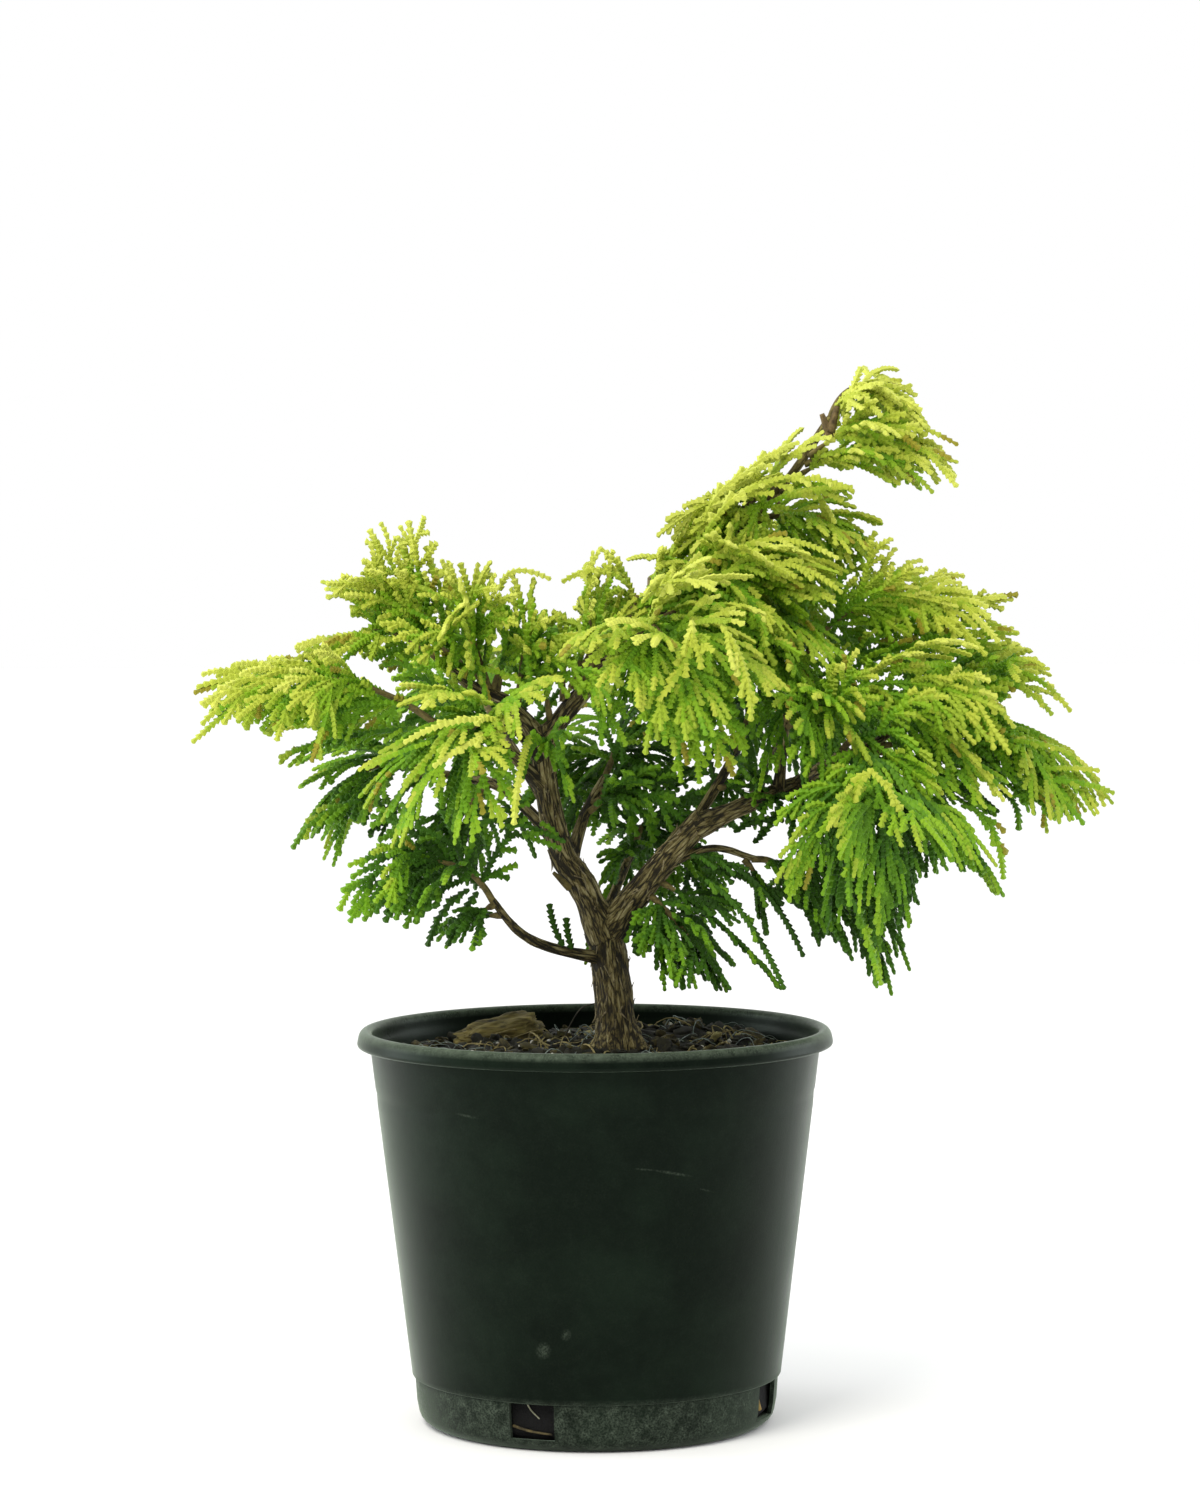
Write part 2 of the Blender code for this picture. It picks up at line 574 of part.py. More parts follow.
def frond_mesh(frond, name, space, chance, thinner):
    """A frond as one thin blade whose outline is cut into fingers.

    At each station the rib has a top, a bottom and two edge points. A finger stands between two
    stations, on the edge points of one side, and tapers to its tip. thinner sets the ribs of
    fronds that meet at the stem a little apart in size, so that no two of their faces lie in one plane.
    """
    steps, stations = frond_stations(frond, name, space)
    if len(stations) < 3:
        return None
    begin, bend, end, face, longest = frond
    points, rib = [], []
    for step, at in zip(steps, stations):
        heading = bezier_heading(begin, bend, end, step)
        over = unit(face - (face @ heading) * heading)
        side = np.cross(heading, over)
        rib.append((heading, side))
        lag = heading * FROND_PITCH * 0.25 if 0 < step < steps[-1] else 0 * heading
        rib_size = thinner if step > 0 else ROOT_SHARE
        deep, wide = over * RIB_HALF_DEPTH * rib_size, side * RIB_HALF_WIDTH * rib_size
        points += [at + deep, at - deep, at + wide + lag, at - wide - lag]
    faces = [(0, 3, 1), (0, 1, 2)]
    for i in range(len(stations) - 1):
        heading, side = rib[i]
        for hand, edge in ((1, 2), (-1, 3)):
            near, far = 4 * i + edge, 4 * i + 4 + edge
            angle = math.radians(58 - 24 * steps[i] + chance.uniform(-5, 5))
            out = unit(math.cos(angle) * heading + hand * math.sin(angle) * side - UP * 0.25)
            length = finger_length(longest, steps[i]) * chance.uniform(0.86, 1.12)
            tip = None if i == 0 else finger_tip((points[near] + points[far]) / 2, out, length, name, space)
            faces += blade_faces(points, 4 * i, near, far, tip, hand)
    last = stations[-1]
    ahead = unit(end - last)
    tip = finger_tip(last, ahead, max(np.linalg.norm(end - last), 5.0), name, space)
    faces += end_faces(points, 4 * (len(stations) - 1), tip)
    return points, faces


def blade_faces(points, top, near, far, tip, hand):
    """Faces of one side of a frond between two stations, with its finger if it has one."""
    low, next_top, next_low = top + 1, top + 4, top + 5
    if tip is None:
        found = [(top, near, far), (top, far, next_top), (low, far, near), (low, next_low, far)]
    else:
        end = len(points)
        points.append(tip)
        found = [(top, near, end), (top, end, next_top), (next_top, end, far),
                 (low, end, near), (low, next_low, end), (next_low, far, end)]
    return found if hand > 0 else [face[::-1] for face in found]


def end_faces(points, top, tip):
    """The finger that ends a frond, or a flat end."""
    low, right, left = top + 1, top + 2, top + 3
    if tip is None:
        return [(top, right, low), (top, low, left)]
    end = len(points)
    points.append(tip)
    return [(top, right, end), (top, end, left), (low, end, right), (low, left, end)]


def mass(row, lines, space):
    """One mass: its stem, with its fronds fused on."""
    name, tone = row[0], row[-1]
    start, middle, reach = mass_axis(row, lines)
    line = bezier(start, middle, reach, np.linspace(0, STEM_SHARE, STEM_STATIONS))
    radii = np.outer(np.linspace(STEM_RADIUS, STEM_TIP_RADIUS, STEM_STATIONS), np.ones(STEM_SIDES))
    stem = tube(name, line, radii, STEM_SIDES, tone)
    chance = np.random.default_rng(1 + sum(map(ord, name)))
    blades = []
    for number, frond in enumerate(fronds_of(row, lines, space)):
        made = frond_mesh(frond, name, space, chance, 1 - 0.07 * number)
        if made:
            blades.append(put(f"{name}_frond_{number}", *made, tone))
    if blades:
        join_by_boolean(stem, blades, "UNION", "MANIFOLD")
    stem.name = name
    return stem


def keep_largest(thing):
    """Drops loose scraps: only the largest connected body of a mesh stays."""
    form = bmesh.new()
    form.from_mesh(thing.data)
    left, bodies = set(form.verts), []
    while left:
        body, edge_of_body = set(), [left.pop()]
        while edge_of_body:
            vert = edge_of_body.pop()
            body.add(vert)
            for edge in vert.link_edges:
                other = edge.other_vert(vert)
                if other in left:
                    left.remove(other)
                    edge_of_body.append(other)
        bodies.append(body)
    for body in sorted(bodies, key=len)[:-1]:
        bmesh.ops.delete(form, geom=list(body), context="VERTS")
    form.to_mesh(thing.data)
    form.free()


def main():
    clear_scene()
    pot()
    soil()
    lines = limb_lines()
    limbs(lines)
    space = Space(lines)
    for row in MASSES:
        keep_largest(mass(row, lines, space))


main()
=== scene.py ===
"""Dwarf hinoki cypress in a black nursery pot: the looks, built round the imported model.

Sizes are in millimetres and become metres where a mesh is made. The pot stands on z = 0 with its
axis on z, and the photograph looks along +Y, with +X to the right.
"""

import itertools
import math

import bpy
import numpy as np
from mathutils import Matrix, Vector


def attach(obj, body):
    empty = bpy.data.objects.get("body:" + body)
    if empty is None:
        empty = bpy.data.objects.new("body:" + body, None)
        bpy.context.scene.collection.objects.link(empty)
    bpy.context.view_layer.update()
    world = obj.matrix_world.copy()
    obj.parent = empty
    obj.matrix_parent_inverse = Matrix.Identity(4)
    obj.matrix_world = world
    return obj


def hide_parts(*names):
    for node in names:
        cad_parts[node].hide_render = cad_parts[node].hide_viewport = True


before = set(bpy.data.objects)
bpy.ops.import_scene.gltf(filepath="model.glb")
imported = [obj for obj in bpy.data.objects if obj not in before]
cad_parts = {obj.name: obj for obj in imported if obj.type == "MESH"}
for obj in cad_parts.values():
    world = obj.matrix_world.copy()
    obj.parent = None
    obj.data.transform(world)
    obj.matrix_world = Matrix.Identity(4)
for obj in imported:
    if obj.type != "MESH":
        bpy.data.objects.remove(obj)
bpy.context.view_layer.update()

MM = 0.001
UP = np.array([0.0, 0.0, 1.0])

# Camera: it stands 1.6 m in front of the pot, a little below the top of the crown, looks down by
# under three degrees and is rolled by a quarter of a degree. Its lens gives the photograph's frame.
EYE = (2.2, -1615.8, 319.8)
TILT_DOWN, ROLL = 0.0488, 0.0045
FOCAL_PX, PHOTO_WIDTH_PX, SENSOR, SIGHT = 4528, 1200, 36.0, 20.0

lens = bpy.data.cameras.new("eye")
lens.sensor_fit = "HORIZONTAL"
lens.sensor_width = SENSOR
lens.lens = FOCAL_PX / PHOTO_WIDTH_PX * SENSOR
lens.clip_end = SIGHT
camera = bpy.data.objects.new("eye", lens)
place = Matrix.Translation(Vector(EYE) * MM)
pitch = Matrix.Rotation(math.pi / 2 - TILT_DOWN, 4, "X")
camera.matrix_world = place @ pitch @ Matrix.Rotation(-ROLL, 4, "Z")
bpy.context.scene.collection.objects.link(camera)
bpy.context.scene.camera = camera

# Studio: a white paper floor, a strong soft light above and in front, a weaker one from each side, and
# a white surround that is dimmer towards the camera, as a room behind a photographer is.
FLOOR_RADIUS, FLOOR_SIDES = 9000.0, 96
PAPER = "#f6f6f5"
OVERHEAD, BACKDROP = 1.22, 1.0
LIGHT_SIZE = 700
# Each light's name, place, the point it looks at, power and colour.
LIGHTS = (("key_light", (-600, -1000, 1300), (20, 0, 240), 15.0, "#fffbf2"),
          ("left_light", (-1300, 250, 260), (0, 0, 120), 9.0, "#f4faff"),
          ("right_light", (1300, 500, 320), (0, 0, 120), 6.0, "#f4faff"))


def linear(code):
    """An sRGB hex colour as linear RGBA: c / 12.92 up to 0.04045, and ((c + 0.055) / 1.055) ** 2.4 above."""
    shares = [int(code[i:i + 2], 16) / 255 for i in (1, 3, 5)]
    return (*(c / 12.92 if c <= 0.04045 else ((c + 0.055) / 1.055) ** 2.4 for c in shares), 1.0)


def add(tree, kind, inputs=None, ramp=None, **settings):
    """Adds a node with its settings, its inputs' values or links, and the stops of its colour ramp."""
    made = tree.nodes.new(kind)
    for name, value in settings.items():
        setattr(made, name, value)
    for socket, value in (inputs or {}).items():
        if isinstance(value, bpy.types.NodeSocket):
            tree.links.new(value, made.inputs[socket])
        else:
            made.inputs[socket].default_value = value
    if ramp:
        stops = made.color_ramp.elements
        while len(stops) < len(ramp):
            stops.new(0.5)
        for stop, (at, colour) in zip(stops, ramp):
            stop.position = at
            stop.color = linear(colour) if isinstance(colour, str) else (colour, colour, colour, 1.0)
    return made


def finish_of(name, **sockets):
    """A Principled material with uniform values on its sockets: material, tree, shader and coordinates."""
    made = bpy.data.materials.new(name)
    made.use_nodes = True
    tree = made.node_tree
    shader = tree.nodes["Principled BSDF"]
    for socket, value in sockets.items():
        value = linear(value) if isinstance(value, str) else value
        shader.inputs[socket.replace("_", " ")].default_value = value
    return made, tree, shader, add(tree, "ShaderNodeTexCoord").outputs["Object"]


def mesh_piece(name, points, faces, *finishes, smooth=True):
    """A mesh object from points in millimetres, shape (n, 3), and arrays of faces with 3 or 4 corners."""
    mesh = bpy.data.meshes.new(name)
    points = np.asarray(points, np.float32).reshape(-1, 3) * MM
    sizes = np.concatenate([np.full(len(group), group.shape[1]) for group in faces])
    corners = np.concatenate([group.ravel() for group in faces])
    mesh.vertices.add(len(points))
    mesh.vertices.foreach_set("co", points.ravel())
    mesh.loops.add(len(corners))
    mesh.loops.foreach_set("vertex_index", corners.astype(np.int32))
    mesh.polygons.add(len(sizes))
    mesh.polygons.foreach_set("loop_start", (np.cumsum(sizes) - sizes).astype(np.int32))
    mesh.polygons.foreach_set("use_smooth", np.full(len(sizes), smooth))
    mesh.update(calc_edges=True)
    mesh.validate()
    for finish in finishes:
        mesh.materials.append(finish)
    made = bpy.data.objects.new(name, mesh)
    bpy.context.scene.collection.objects.link(made)
    return made


def soft_light(name, place, target, size, power, colour):
    """A square area light that looks from one point at another."""
    made = bpy.data.lights.new(name, "AREA")
    made.size = size * MM
    made.energy = power
    made.color = linear(colour)[:3]
    lamp = bpy.data.objects.new(name, made)
    towards = Vector(target) - Vector(place)
    turned = towards.to_track_quat("-Z", "Y").to_matrix().to_4x4()
    lamp.matrix_world = Matrix.Translation(Vector(place) * MM) @ turned
    bpy.context.scene.collection.objects.link(lamp)


paper, *_ = finish_of("matt_white_paper", Base_Color=PAPER, Roughness=0.9)
floor_turns = 2 * np.pi * np.arange(FLOOR_SIDES) / FLOOR_SIDES
floor_edge = np.c_[np.cos(floor_turns), np.sin(floor_turns), 0 * floor_turns] * FLOOR_RADIUS
floor_corner = np.arange(FLOOR_SIDES)
floor_face = np.c_[floor_corner, np.roll(floor_corner, -1), np.full(FLOOR_SIDES, FLOOR_SIDES)]
floor = mesh_piece("paper_floor", np.vstack([floor_edge, [[0, 0, 0]]]), [floor_face], paper)

for light_name, stand, looked_at, power, colour in LIGHTS:
    soft_light(light_name, stand, looked_at, LIGHT_SIZE, power, colour)

world = bpy.data.worlds.new("white_surround")
bpy.context.scene.world = world
world.use_nodes = True
sky = world.node_tree
direction = add(sky, "ShaderNodeSeparateXYZ", {0: add(sky, "ShaderNodeTexCoord").outputs["Generated"]})
low = add(sky, "ShaderNodeMapRange", {"Value": direction.outputs["Y"], "From Min": -0.9, "From Max": 0.4,
                                      "To Min": 0.2, "To Max": 0.85})
above = add(sky, "ShaderNodeMapRange", {"Value": direction.outputs["Z"], "From Min": 0.1, "From Max": 0.55,
                                        "To Min": 0.0, "To Max": 1.0})
dimmer = add(sky, "ShaderNodeMix", {0: above.outputs[0], 2: low.outputs[0], 3: OVERHEAD})
seen = add(sky, "ShaderNodeLightPath").outputs["Is Camera Ray"]
strength = add(sky, "ShaderNodeMix", {0: seen, 2: dimmer.outputs[0], 3: BACKDROP})
sky.nodes["Background"].inputs["Color"].default_value = (1.0, 1.0, 1.0, 1.0)
sky.links.new(strength.outputs[0], sky.nodes["Background"].inputs["Strength"])

bpy.context.scene.view_settings.view_transform = "Standard"
bpy.context.scene.view_settings.look = "None"

# Pot: one injection-moulded shell of black-green polypropylene, about 1.5 mm thick, with a skirted
# rolled rim, a faint ring below it, and a foot band set in by a millimetre with four drain slots.
POT_HEIGHT, POT_SIDES = 141.4, 240
RIM_RADIUS, RIM_DROP = 85.0, 6.2
WALL, FLOOR_THICK = 1.5, 2.0
FOOT_RADIUS, FOOT_HEIGHT, FOOT_STEP, FOOT_ROUND = 64.0, 17.6, 1.0, 7.0
WALL_FOOT_RADIUS, WALL_TOP_RADIUS = 66.2, 80.4
RING_HEIGHT, RING_DEPTH = 118.0, 0.35
DRAIN_WIDTH, DRAIN_LOW, DRAIN_HIGH = 16.4, 4.4, 17.0
DRAIN_FIRST_TURN, DRAIN_COUNT, DRAIN_ROWS = -20.5, 4, 4
PLASTIC_DARK, PLASTIC_WORN, PLASTIC_DUST, PLASTIC_EDGE = "#050b07", "#101a12", "#566053", "#64705f"
SHEEN_TINT, GLOSS_TINT = "#cfe8c9", "#e0ffe0"
# Scuffs: each one's centre, its half sizes across, in depth and up, its slope and how pale it is.
SCUFFS = (((-18.3, -67.0, 36.7), (3.0, 9.0, 3.6), 0.3, 0.55),
          ((-10.4, -68.0, 42.6), (2.2, 9.0, 2.6), 0.6, 0.40),
          ((27.0, -74.0, 98.7), (8.5, 14.0, 0.7), 0.22, 0.50),
          ((17.0, -75.0, 100.6), (5.0, 14.0, 0.5), 0.10, 0.35),
          ((38.0, -70.0, 92.0), (4.0, 14.0, 0.5), 0.35, 0.30),
          ((-44.0, -62.0, 118.0), (5.0, 14.0, 0.6), 0.15, 0.40))


def wall_radius(z):
    """Outer radius of the wall: straight from its foot radius at the step to its top radius under the rim."""
    share = (z - FOOT_HEIGHT) / (POT_HEIGHT - RIM_DROP - FOOT_HEIGHT)
    return WALL_FOOT_RADIUS + (WALL_TOP_RADIUS - WALL_FOOT_RADIUS) * share


def foot_radius(z):
    """Outer radius of the foot band: straight from the underside up to the step."""
    return FOOT_RADIUS + (WALL_FOOT_RADIUS - FOOT_STEP - FOOT_RADIUS) * z / FOOT_HEIGHT


def smooth_line(points, count):
    """A Catmull-Rom curve through way points, taken at even parameter steps.

    Between points b and c, with neighbours a and d, it is half of 2b + (c - a)t + (2a - 5b + 4c - d)t^2
    + (3b - a - 3c + d)t^3.
    """
    points = np.asarray(points, float)
    ends = np.vstack([2 * points[0] - points[1], points, 2 * points[-1] - points[-2]])
    at = np.linspace(0, len(points) - 1, count)
    span = np.minimum(at.astype(int), len(points) - 2)
    t = (at - span)[:, None]
    a, b, c, d = (ends[span + i] for i in range(4))
    return 0.5 * (2 * b + (c - a) * t + (2 * a - 5 * b + 4 * c - d) * t**2 + (3 * b - a - 3 * c + d) * t**3)


def grid_faces(rows, columns, start=0):
    """Quads between rows of points whose columns close up: point (r, c) is r times columns plus c."""
    row, column = np.meshgrid(np.arange(rows - 1), np.arange(columns), indexing="ij")
    after = (column + 1) % columns
    low, high = start + row * columns, start + (row + 1) * columns
    return np.stack([low + column, low + after, high + after, high + column], -1).reshape(-1, 4)


def pole_faces(ring_start, columns, pole, upward):
    """Triangles from a ring of points to one point on the axis."""
    column = np.arange(columns)
    after = (column + 1) % columns
    fan = np.stack([ring_start + column, ring_start + after, np.full(columns, pole)], -1)
    return fan if upward else fan[:, ::-1]


def pot_profile():
    """The shell's section as (radius, height), from the underside up the outside and down the inside.

    The foot's corner is an arc, the wall is straight with a faint groove, and the rim's skirt, roll and
    inner ledge are one smooth curve through way points. It also gives the rows at the drain slots' heights.
    """
    arc = np.radians(np.linspace(0, 90, 9))
    centre = foot_radius(FOOT_ROUND) - FOOT_ROUND
    foot = np.c_[centre + FOOT_ROUND * np.sin(arc), FOOT_ROUND * (1 - np.cos(arc))]
    low = np.linspace(DRAIN_LOW, DRAIN_HIGH, DRAIN_ROWS)
    foot = foot[foot[:, 1] < DRAIN_LOW - 0.3]
    inset = FOOT_ROUND - np.sqrt(np.maximum(FOOT_ROUND**2 - np.maximum(FOOT_ROUND - low, 0) ** 2, 0))
    band = np.c_[foot_radius(low) - inset, low]
    step = np.array([(foot_radius(17.2), 17.2), (foot_radius(17.3) + 0.5, 17.35),
                     (wall_radius(17.6) - 0.2, 17.5), (wall_radius(17.9), 17.9)])
    rise = np.linspace(19.0, POT_HEIGHT - RIM_DROP - 0.8, 60)
    groove = RING_DEPTH * np.exp(-(((rise - RING_HEIGHT) / 1.2) ** 2))
    wall = np.c_[wall_radius(rise) - groove, rise]
    rim_low = POT_HEIGHT - RIM_DROP
    rim_way = [(wall_radius(rim_low), rim_low - 0.4), (wall_radius(rim_low) + 1.2, rim_low + 0.15),
               (RIM_RADIUS - 1.0, rim_low + 0.1), (RIM_RADIUS, rim_low + 0.9),
               (RIM_RADIUS - 0.15, rim_low + 2.6), (RIM_RADIUS - 0.7, rim_low + 4.6),
               (RIM_RADIUS - 1.7, rim_low + 5.8), (RIM_RADIUS - 3.0, POT_HEIGHT),
               (RIM_RADIUS - 4.4, POT_HEIGHT - 0.5), (RIM_RADIUS - 5.2, POT_HEIGHT - 1.7),
               (RIM_RADIUS - 5.6, rim_low + 1.2), (wall_radius(rim_low) - WALL, rim_low - 0.6)]
    rim = smooth_line(rim_way, 56)
    inside = np.linspace(POT_HEIGHT - RIM_DROP - 2.0, FOOT_HEIGHT + 1.0, 24)
    inside = np.c_[wall_radius(inside) - WALL, inside]
    inner_band = np.c_[foot_radius(low[::-1]) - WALL - inset[::-1], low[::-1]]
    base = np.array([(centre - 2.0, FLOOR_THICK)])
    parts = [foot, band, step, wall, rim, inside, inner_band, base]
    first = len(foot)
    inner_first = sum(len(part) for part in parts[:6])
    return np.vstack(parts), first, inner_first


def pot_shell():
    """The profile carried round z, with the quads in each slot's window left out and four reveals put in."""
    profile, outer_row, inner_row = pot_profile()
    middles = np.radians(DRAIN_FIRST_TURN - 90 + 360 / DRAIN_COUNT * np.arange(DRAIN_COUNT)) % (2 * np.pi)
    half = DRAIN_WIDTH / 2 / FOOT_RADIUS
    edges = np.concatenate([middles - half, middles + half])
    turns = 2 * np.pi * np.arange(POT_SIDES) / POT_SIDES
    near = np.abs(turns[:, None] - edges).min(axis=1) < np.pi / POT_SIDES
    turns = np.sort(np.concatenate([turns[~near], edges]))
    radius = profile[:, :1] + 0.22 * np.sin(2 * turns + 0.6) * (profile[:, 1:] / POT_HEIGHT)
    heights = np.broadcast_to(profile[:, 1:], radius.shape)
    points = np.stack([radius * np.cos(turns), radius * np.sin(turns), heights], -1)
    rows, columns = radius.shape
    quads = grid_faces(rows, columns)
    row, column = np.divmod(np.arange(len(quads)), columns)
    in_rows = (row >= outer_row) & (row < outer_row + DRAIN_ROWS - 1)
    in_rows |= (row >= inner_row) & (row < inner_row + DRAIN_ROWS - 1)
    middle_turn = (turns + np.append(turns[1:], turns[0] + 2 * np.pi)) / 2
    in_slot = (np.abs(middle_turn[:, None] - middles) < half).any(axis=1)
    quads = quads[~(in_rows & in_slot[column])]
    reveals = [slot_reveal(turns, middle - half, middle + half, outer_row, inner_row, columns)
               for middle in middles]
    low_pole, high_pole = rows * columns, rows * columns + 1
    caps = [pole_faces(0, columns, low_pole, False),
            pole_faces((rows - 1) * columns, columns, high_pole, True)]
    points = np.vstack([points.reshape(-1, 3), [[0, 0, 0]], [[0, 0, FLOOR_THICK]]])
    return points, [quads, *reveals, *caps]


def slot_reveal(turns, begin, end, outer_row, inner_row, columns):
    """The four sides of a slot, each a strip of quads from the outer wall's row or column to the inner's."""
    first, last = np.argmin(np.abs(turns - begin)), np.argmin(np.abs(turns - end))
    across = np.arange(first, last)
    outer_low, outer_high = outer_row * columns, (outer_row + DRAIN_ROWS - 1) * columns
    inner_high, inner_low = inner_row * columns, (inner_row + DRAIN_ROWS - 1) * columns
    after = across + 1
    sill = np.stack([outer_low + across, outer_low + after, inner_low + after, inner_low + across], -1)
    head = np.stack([outer_high + after, outer_high + across, inner_high + across, inner_high + after], -1)
    up = np.arange(DRAIN_ROWS - 1)
    outer, inner = (outer_row + up) * columns, (inner_row + DRAIN_ROWS - 1 - up) * columns
    left = np.stack([outer + columns + first, outer + first, inner + first, inner - columns + first], -1)
    right = np.stack([outer + last, outer + columns + last, inner - columns + last, inner + last], -1)
    return np.vstack([sill, head, left, right])


# Moulded polypropylene: nearly black with a green cast, a soft sheen that is broken by scuffs, and grey
# lime dust that clings to the foot band.
plastic, tree, shader, at = finish_of("moulded_polypropylene", IOR=1.49, Specular_IOR_Level=0.07,
                                      Specular_Tint=GLOSS_TINT, Sheen_Weight=0.32, Sheen_Roughness=0.33,
                                      Sheen_Tint=SHEEN_TINT)
blotch = add(tree, "ShaderNodeTexNoise", {"Vector": at, "Scale": 26.0, "Detail": 7.0, "Roughness": 0.62})
speck = add(tree, "ShaderNodeTexNoise", {"Vector": at, "Scale": 1500.0, "Detail": 3.0, "Roughness": 0.6})
mould = add(tree, "ShaderNodeTexNoise", {"Vector": at, "Scale": 260.0, "Detail": 6.0, "Roughness": 0.66})
height = add(tree, "ShaderNodeSeparateXYZ", {0: at}).outputs["Z"]
low_band = add(tree, "ShaderNodeMapRange", {"Value": height, "From Min": 0.0195, "From Max": 0.0165,
                                            "To Min": 0.0, "To Max": 1.0})
worn = add(tree, "ShaderNodeValToRGB", {0: blotch.outputs[0]},
           ramp=[(0.42, PLASTIC_DARK), (0.72, PLASTIC_WORN)])
grains = add(tree, "ShaderNodeValToRGB", {0: speck.outputs[0]}, ramp=[(0.38, 0.12), (0.72, 1.0)])
patches = add(tree, "ShaderNodeValToRGB", {0: mould.outputs[0]}, ramp=[(0.38, 0.20), (0.70, 0.95)])
dust = add(tree, "ShaderNodeMath", {0: grains.outputs[0], 1: patches.outputs[0]}, operation="MULTIPLY")
dust_low = add(tree, "ShaderNodeMath", {0: dust.outputs[0], 1: low_band.outputs[0]}, operation="MULTIPLY")
few = add(tree, "ShaderNodeMath", {0: dust.outputs[0], 1: 0.05}, operation="MULTIPLY")
dust_all = add(tree, "ShaderNodeMath", {0: dust_low.outputs[0], 1: few.outputs[0]},
               operation="MAXIMUM").outputs[0]
for scuff_place, scuff_size, slope, strength in SCUFFS:
    local = add(tree, "ShaderNodeMapping", {"Vector": at, "Location": np.multiply(scuff_place, MM),
                                            "Rotation": (0.0, slope, 0.0),
                                            "Scale": np.multiply(scuff_size, MM)},
                vector_type="TEXTURE")
    away = add(tree, "ShaderNodeVectorMath", {0: local.outputs[0]}, operation="LENGTH").outputs["Value"]
    mark = add(tree, "ShaderNodeMapRange", {"Value": away, "From Min": 1.0, "From Max": 0.2,
                                            "To Min": 0.0, "To Max": strength})
    rubbed = add(tree, "ShaderNodeMath", {0: mark.outputs[0], 1: grains.outputs[0]}, operation="MULTIPLY")
    dust_all = add(tree, "ShaderNodeMath", {0: dust_all, 1: rubbed.outputs[0]},
                   operation="MAXIMUM").outputs[0]
dusty = add(tree, "ShaderNodeMix", {0: dust_all, 6: worn.outputs[0], 7: linear(PLASTIC_DUST)},
            data_type="RGBA")
lip = add(tree, "ShaderNodeMapRange", {"Value": height, "From Min": 0.1383, "From Max": 0.1408,
                                       "To Min": 0.0, "To Max": 0.75})
even = add(tree, "ShaderNodeMath", {0: patches.outputs[0], 1: grains.outputs[0]}, operation="MAXIMUM")
chafed = add(tree, "ShaderNodeMath", {0: lip.outputs[0], 1: even.outputs[0]}, operation="MULTIPLY")
colour = add(tree, "ShaderNodeMix", {0: chafed.outputs[0], 6: dusty.outputs[2], 7: linear(PLASTIC_EDGE)},
             data_type="RGBA")
sheen = add(tree, "ShaderNodeMapRange", {"Value": blotch.outputs[0], "From Min": 0.3, "From Max": 0.7,
                                         "To Min": 0.26, "To Max": 0.40})
rough = add(tree, "ShaderNodeMath", {0: sheen.outputs[0], 1: dust_low.outputs[0]}, operation="ADD",
            use_clamp=True)
bump = add(tree, "ShaderNodeBump", {"Height": speck.outputs[0], "Strength": 0.12, "Distance": 0.0003})
tree.links.new(colour.outputs[2], shader.inputs["Base Color"])
tree.links.new(rough.outputs[0], shader.inputs["Roughness"])
tree.links.new(bump.outputs[0], shader.inputs["Normal"])

pot = mesh_piece("nursery_pot", *pot_shell(), plastic)
pot.data.set_sharp_from_angle(angle=math.radians(40))
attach(pot, "root")
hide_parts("pot")

# Root ball: damp bark compost that was pressed in by hand and has settled a little below the rim. Its
# loose top is chips of pine bark, curled root fibres and a few white grains of grit.
SOIL_TOP, SOIL_GAP = 133.0, 0.6
SOIL_COLUMNS, SOIL_TOP_ROWS, SOIL_SIDE_ROWS = 150, 60, 34
TRUNK_FOOT = np.array([8.0, 0.0, 133.3])
MOUNDS = ((30.0, 44.0, 24.0, 4.6), (-20.0, 30.0, 22.0, 1.6), (8.0, 2.0, 17.0, 1.4))
# The first of these colours is a near-black painted shade for the compost down inside the pot; the others are
# the compost's own tones.
COMPOST_PAINTED_SHADE, COMPOST_DARK, COMPOST_MID, COMPOST_LIGHT = "#020202", "#070804", "#151608", "#3a381c"
HASH_X, HASH_Y, HASH_Z, HASH_SEED, HASH_MIX = 73856093, 19349663, 83492791, 2654435, 1274126177


def noise(points, seed):
    """Smooth noise from -1 to 1: each corner of a unit lattice has a hashed value, and the eight corners
    round a point are blended with weights t * t * (3 - 2t) along each axis."""
    cell = np.floor(points).astype(np.int64)
    t = points - cell
    t = t * t * (3 - 2 * t)
    total = np.zeros(points.shape[:-1])
    for corner in itertools.product((0, 1), repeat=3):
        place = cell + np.array(corner)
        mixed = place[..., 0] * HASH_X ^ place[..., 1] * HASH_Y ^ place[..., 2] * HASH_Z
        mixed = mixed ^ (seed + 7) * HASH_SEED
        mixed = (mixed ^ (mixed >> 13)) * HASH_MIX & 0xFFFFFFFF
        value = ((mixed ^ (mixed >> 16)) & 0xFFFF) / 0x7FFF - 1.0
        total += value * np.prod(np.where(np.array(corner) == 1, t, 1 - t), axis=-1)
    return total


def soil_height(x, y):
    """Height of the loose top: broad mounds, each a Gaussian, on lumps of noise at 9, 4 and 1.6 mm."""
    spot = np.stack([x, y, np.zeros_like(x)], -1)
    lumps = 1.3 * noise(spot / 9.0, 1) + 0.8 * noise(spot / 4.0, 2) + 0.45 * noise(spot / 1.6, 3)
    raised = sum(high * np.exp(-(((x - cx) ** 2 + (y - cy) ** 2) / wide**2)) for cx, cy, wide, high in MOUNDS)
    return SOIL_TOP - 0.8 + lumps + raised


